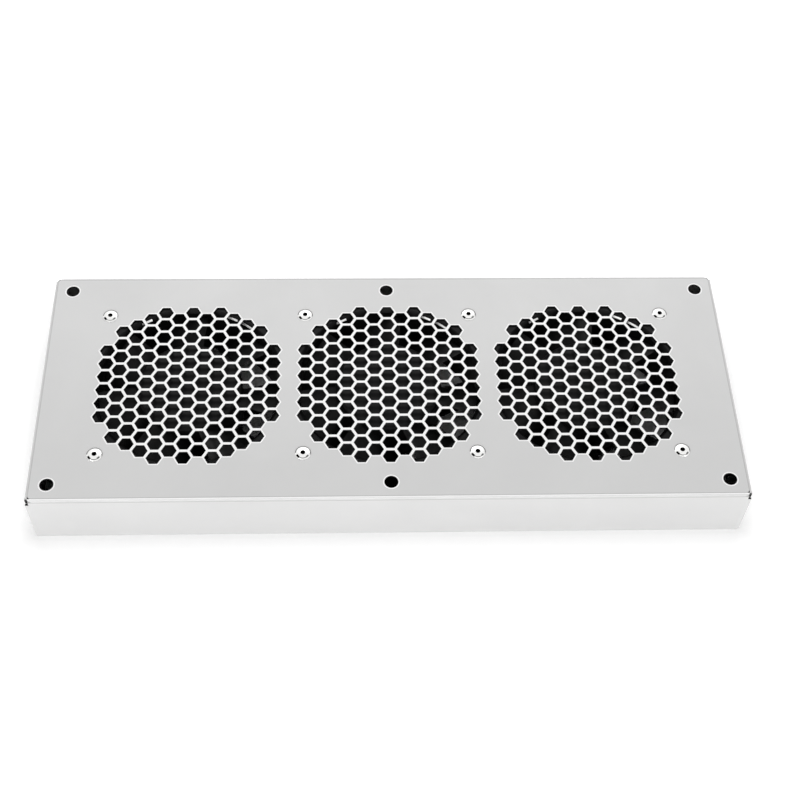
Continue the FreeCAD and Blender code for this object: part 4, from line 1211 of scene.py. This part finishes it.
LAMPS = (
    # name, place, width, height, level
    ("key_softbox", (-0.15, -2.2, 1.05), 2.4, 0.55, 0.56),
    ("left_softbox", (-1.1, -0.6, 1.9), 0.35, 0.35, 0.03),
    ("right_softbox", (1.2, -0.6, 1.9), 0.35, 0.35, 0.03),
    ("rear_softbox", (0.05, 1.7, 1.5), 2.0, 1.1, 0.27),
)
LIT_POINT = Vector((0.0, 0.0, 0.02))
FLOOR_HALF = 6.0
FLOOR_SHADE_REACH = (0.002, 0.07)


def build_floor():
    """A floor that shows the shade close to the tray and is seen plain white further off."""
    mesh = mesh_of("floor", lambda shape: bmesh.ops.create_grid(shape, size=FLOOR_HALF))
    floor = new_object("floor", mesh)
    tree, feed = new_finish("floor_paper", (0.97, 0.97, 0.97), {
        "Roughness": 0.9, "Specular IOR Level": 0.1, "Emission Color": (1.0, 1.0, 1.0, 1.0),
    })
    past = vector_maths(tree, "ABSOLUTE", {0: object_place(tree)})
    past = vector_maths(tree, "SUBTRACT", {0: past, 1: PAN_HIGH})
    past = vector_maths(tree, "MAXIMUM", {0: past, 1: (0.0, 0.0, 0.0)})
    far = ranged(vector_maths(tree, "LENGTH", {0: past}, "Value"), *FLOOR_SHADE_REACH)
    path = flows(new_node(tree, "ShaderNodeLightPath"))
    seen = path["Is Camera Ray"].most(path["Is Glossy Ray"])
    mesh.materials.append(feed({"Emission Strength": far * seen}))
    floor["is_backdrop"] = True


def build_world(studio):
    """Even light from all round, seen as plain white."""
    world = bpy.data.worlds.new("studio")
    world.use_nodes = True
    path = flows(new_node(world.node_tree, "ShaderNodeLightPath"))
    seen = path["Is Camera Ray"].most(path["Is Glossy Ray"]).most(path["Is Transmission Ray"])
    backdrop = world.node_tree.nodes["Background"].inputs
    backdrop["Color"].default_value = (1.0, 1.0, 1.0, 1.0)
    (seen * (1.0 - studio.fill) + studio.fill).to(backdrop["Strength"])
    bpy.context.scene.world = world


def build_lamps():
    for name, place, width, height, level in LAMPS:
        lamp = bpy.data.lights.new(name, "AREA")
        lamp.shape = "RECTANGLE"
        lamp.size = width
        lamp.size_y = height
        path = LIT_POINT - Vector(place)
        lamp.energy = level * pi ** 2 * path.length_squared
        holder = new_object(name, lamp)
        holder.location = place
        holder.rotation_euler = path.to_track_quat("-Z", "Y").to_euler()


def build_camera(studio):
    camera = bpy.data.cameras.new("camera")
    camera.lens = studio.lens
    camera.sensor_width = 36.0
    camera.clip_start = 0.01
    holder = new_object("camera", camera)
    holder.location = studio.camera_place
    holder.rotation_euler = studio.camera_turn
    bpy.context.scene.camera = holder


class TRAY_OT_build_stage(Operator):
    """Builds the floor, the lamps and the camera"""

    bl_idname = "tray.build_stage"
    bl_label = "Build stage"

    def execute(self, context):
        studio = context.scene.fan_tray.studio
        build_floor()
        build_world(studio)
        build_lamps()
        build_camera(studio)
        context.scene.view_settings.view_transform = "Standard"
        return {"FINISHED"}


# Add-on

OPERATORS = (
    TRAY_OT_build_pan, TRAY_OT_build_rivets, TRAY_OT_build_impellers, TRAY_OT_dress_nodes,
    TRAY_OT_build_stage,
)


class TRAY_PT_fan_tray(Panel):
    """Lists the tray's pieces in the order in which they are built"""

    bl_idname = "TRAY_PT_fan_tray"
    bl_label = "Fan tray"
    bl_space_type = "VIEW_3D"
    bl_region_type = "UI"
    bl_category = "Fan tray"

    def draw(self, context):
        settings = context.scene.fan_tray
        for operator in OPERATORS:
            self.layout.operator(operator.bl_idname)
        for title in FanTraySettings.__annotations__:
            group = getattr(settings, title)
            column = self.layout.box().column()
            for name in group.__annotations__:
                column.prop(group, name)


CLASSES = (
    PanSettings, RivetSettings, ImpellerSettings, FinishSettings, StudioSettings, FanTraySettings,
    *OPERATORS, TRAY_PT_fan_tray,
)


def register():
    for item in CLASSES:
        bpy.utils.register_class(item)
    bpy.types.Scene.fan_tray = PointerProperty(type=FanTraySettings)


def unregister():
    del bpy.types.Scene.fan_tray
    for item in reversed(CLASSES):
        bpy.utils.unregister_class(item)


def main():
    register()
    bpy.ops.tray.build_pan()
    bpy.ops.tray.build_rivets()
    bpy.ops.tray.build_impellers()
    bpy.ops.tray.dress_nodes()
    bpy.ops.tray.build_stage()
    boxes = {"cad": CAD_BOX, "visual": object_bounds()}
    {name: [list(corner) for corner in box] for name, box in boxes.items()}


if __name__ == "__main__":
    main()
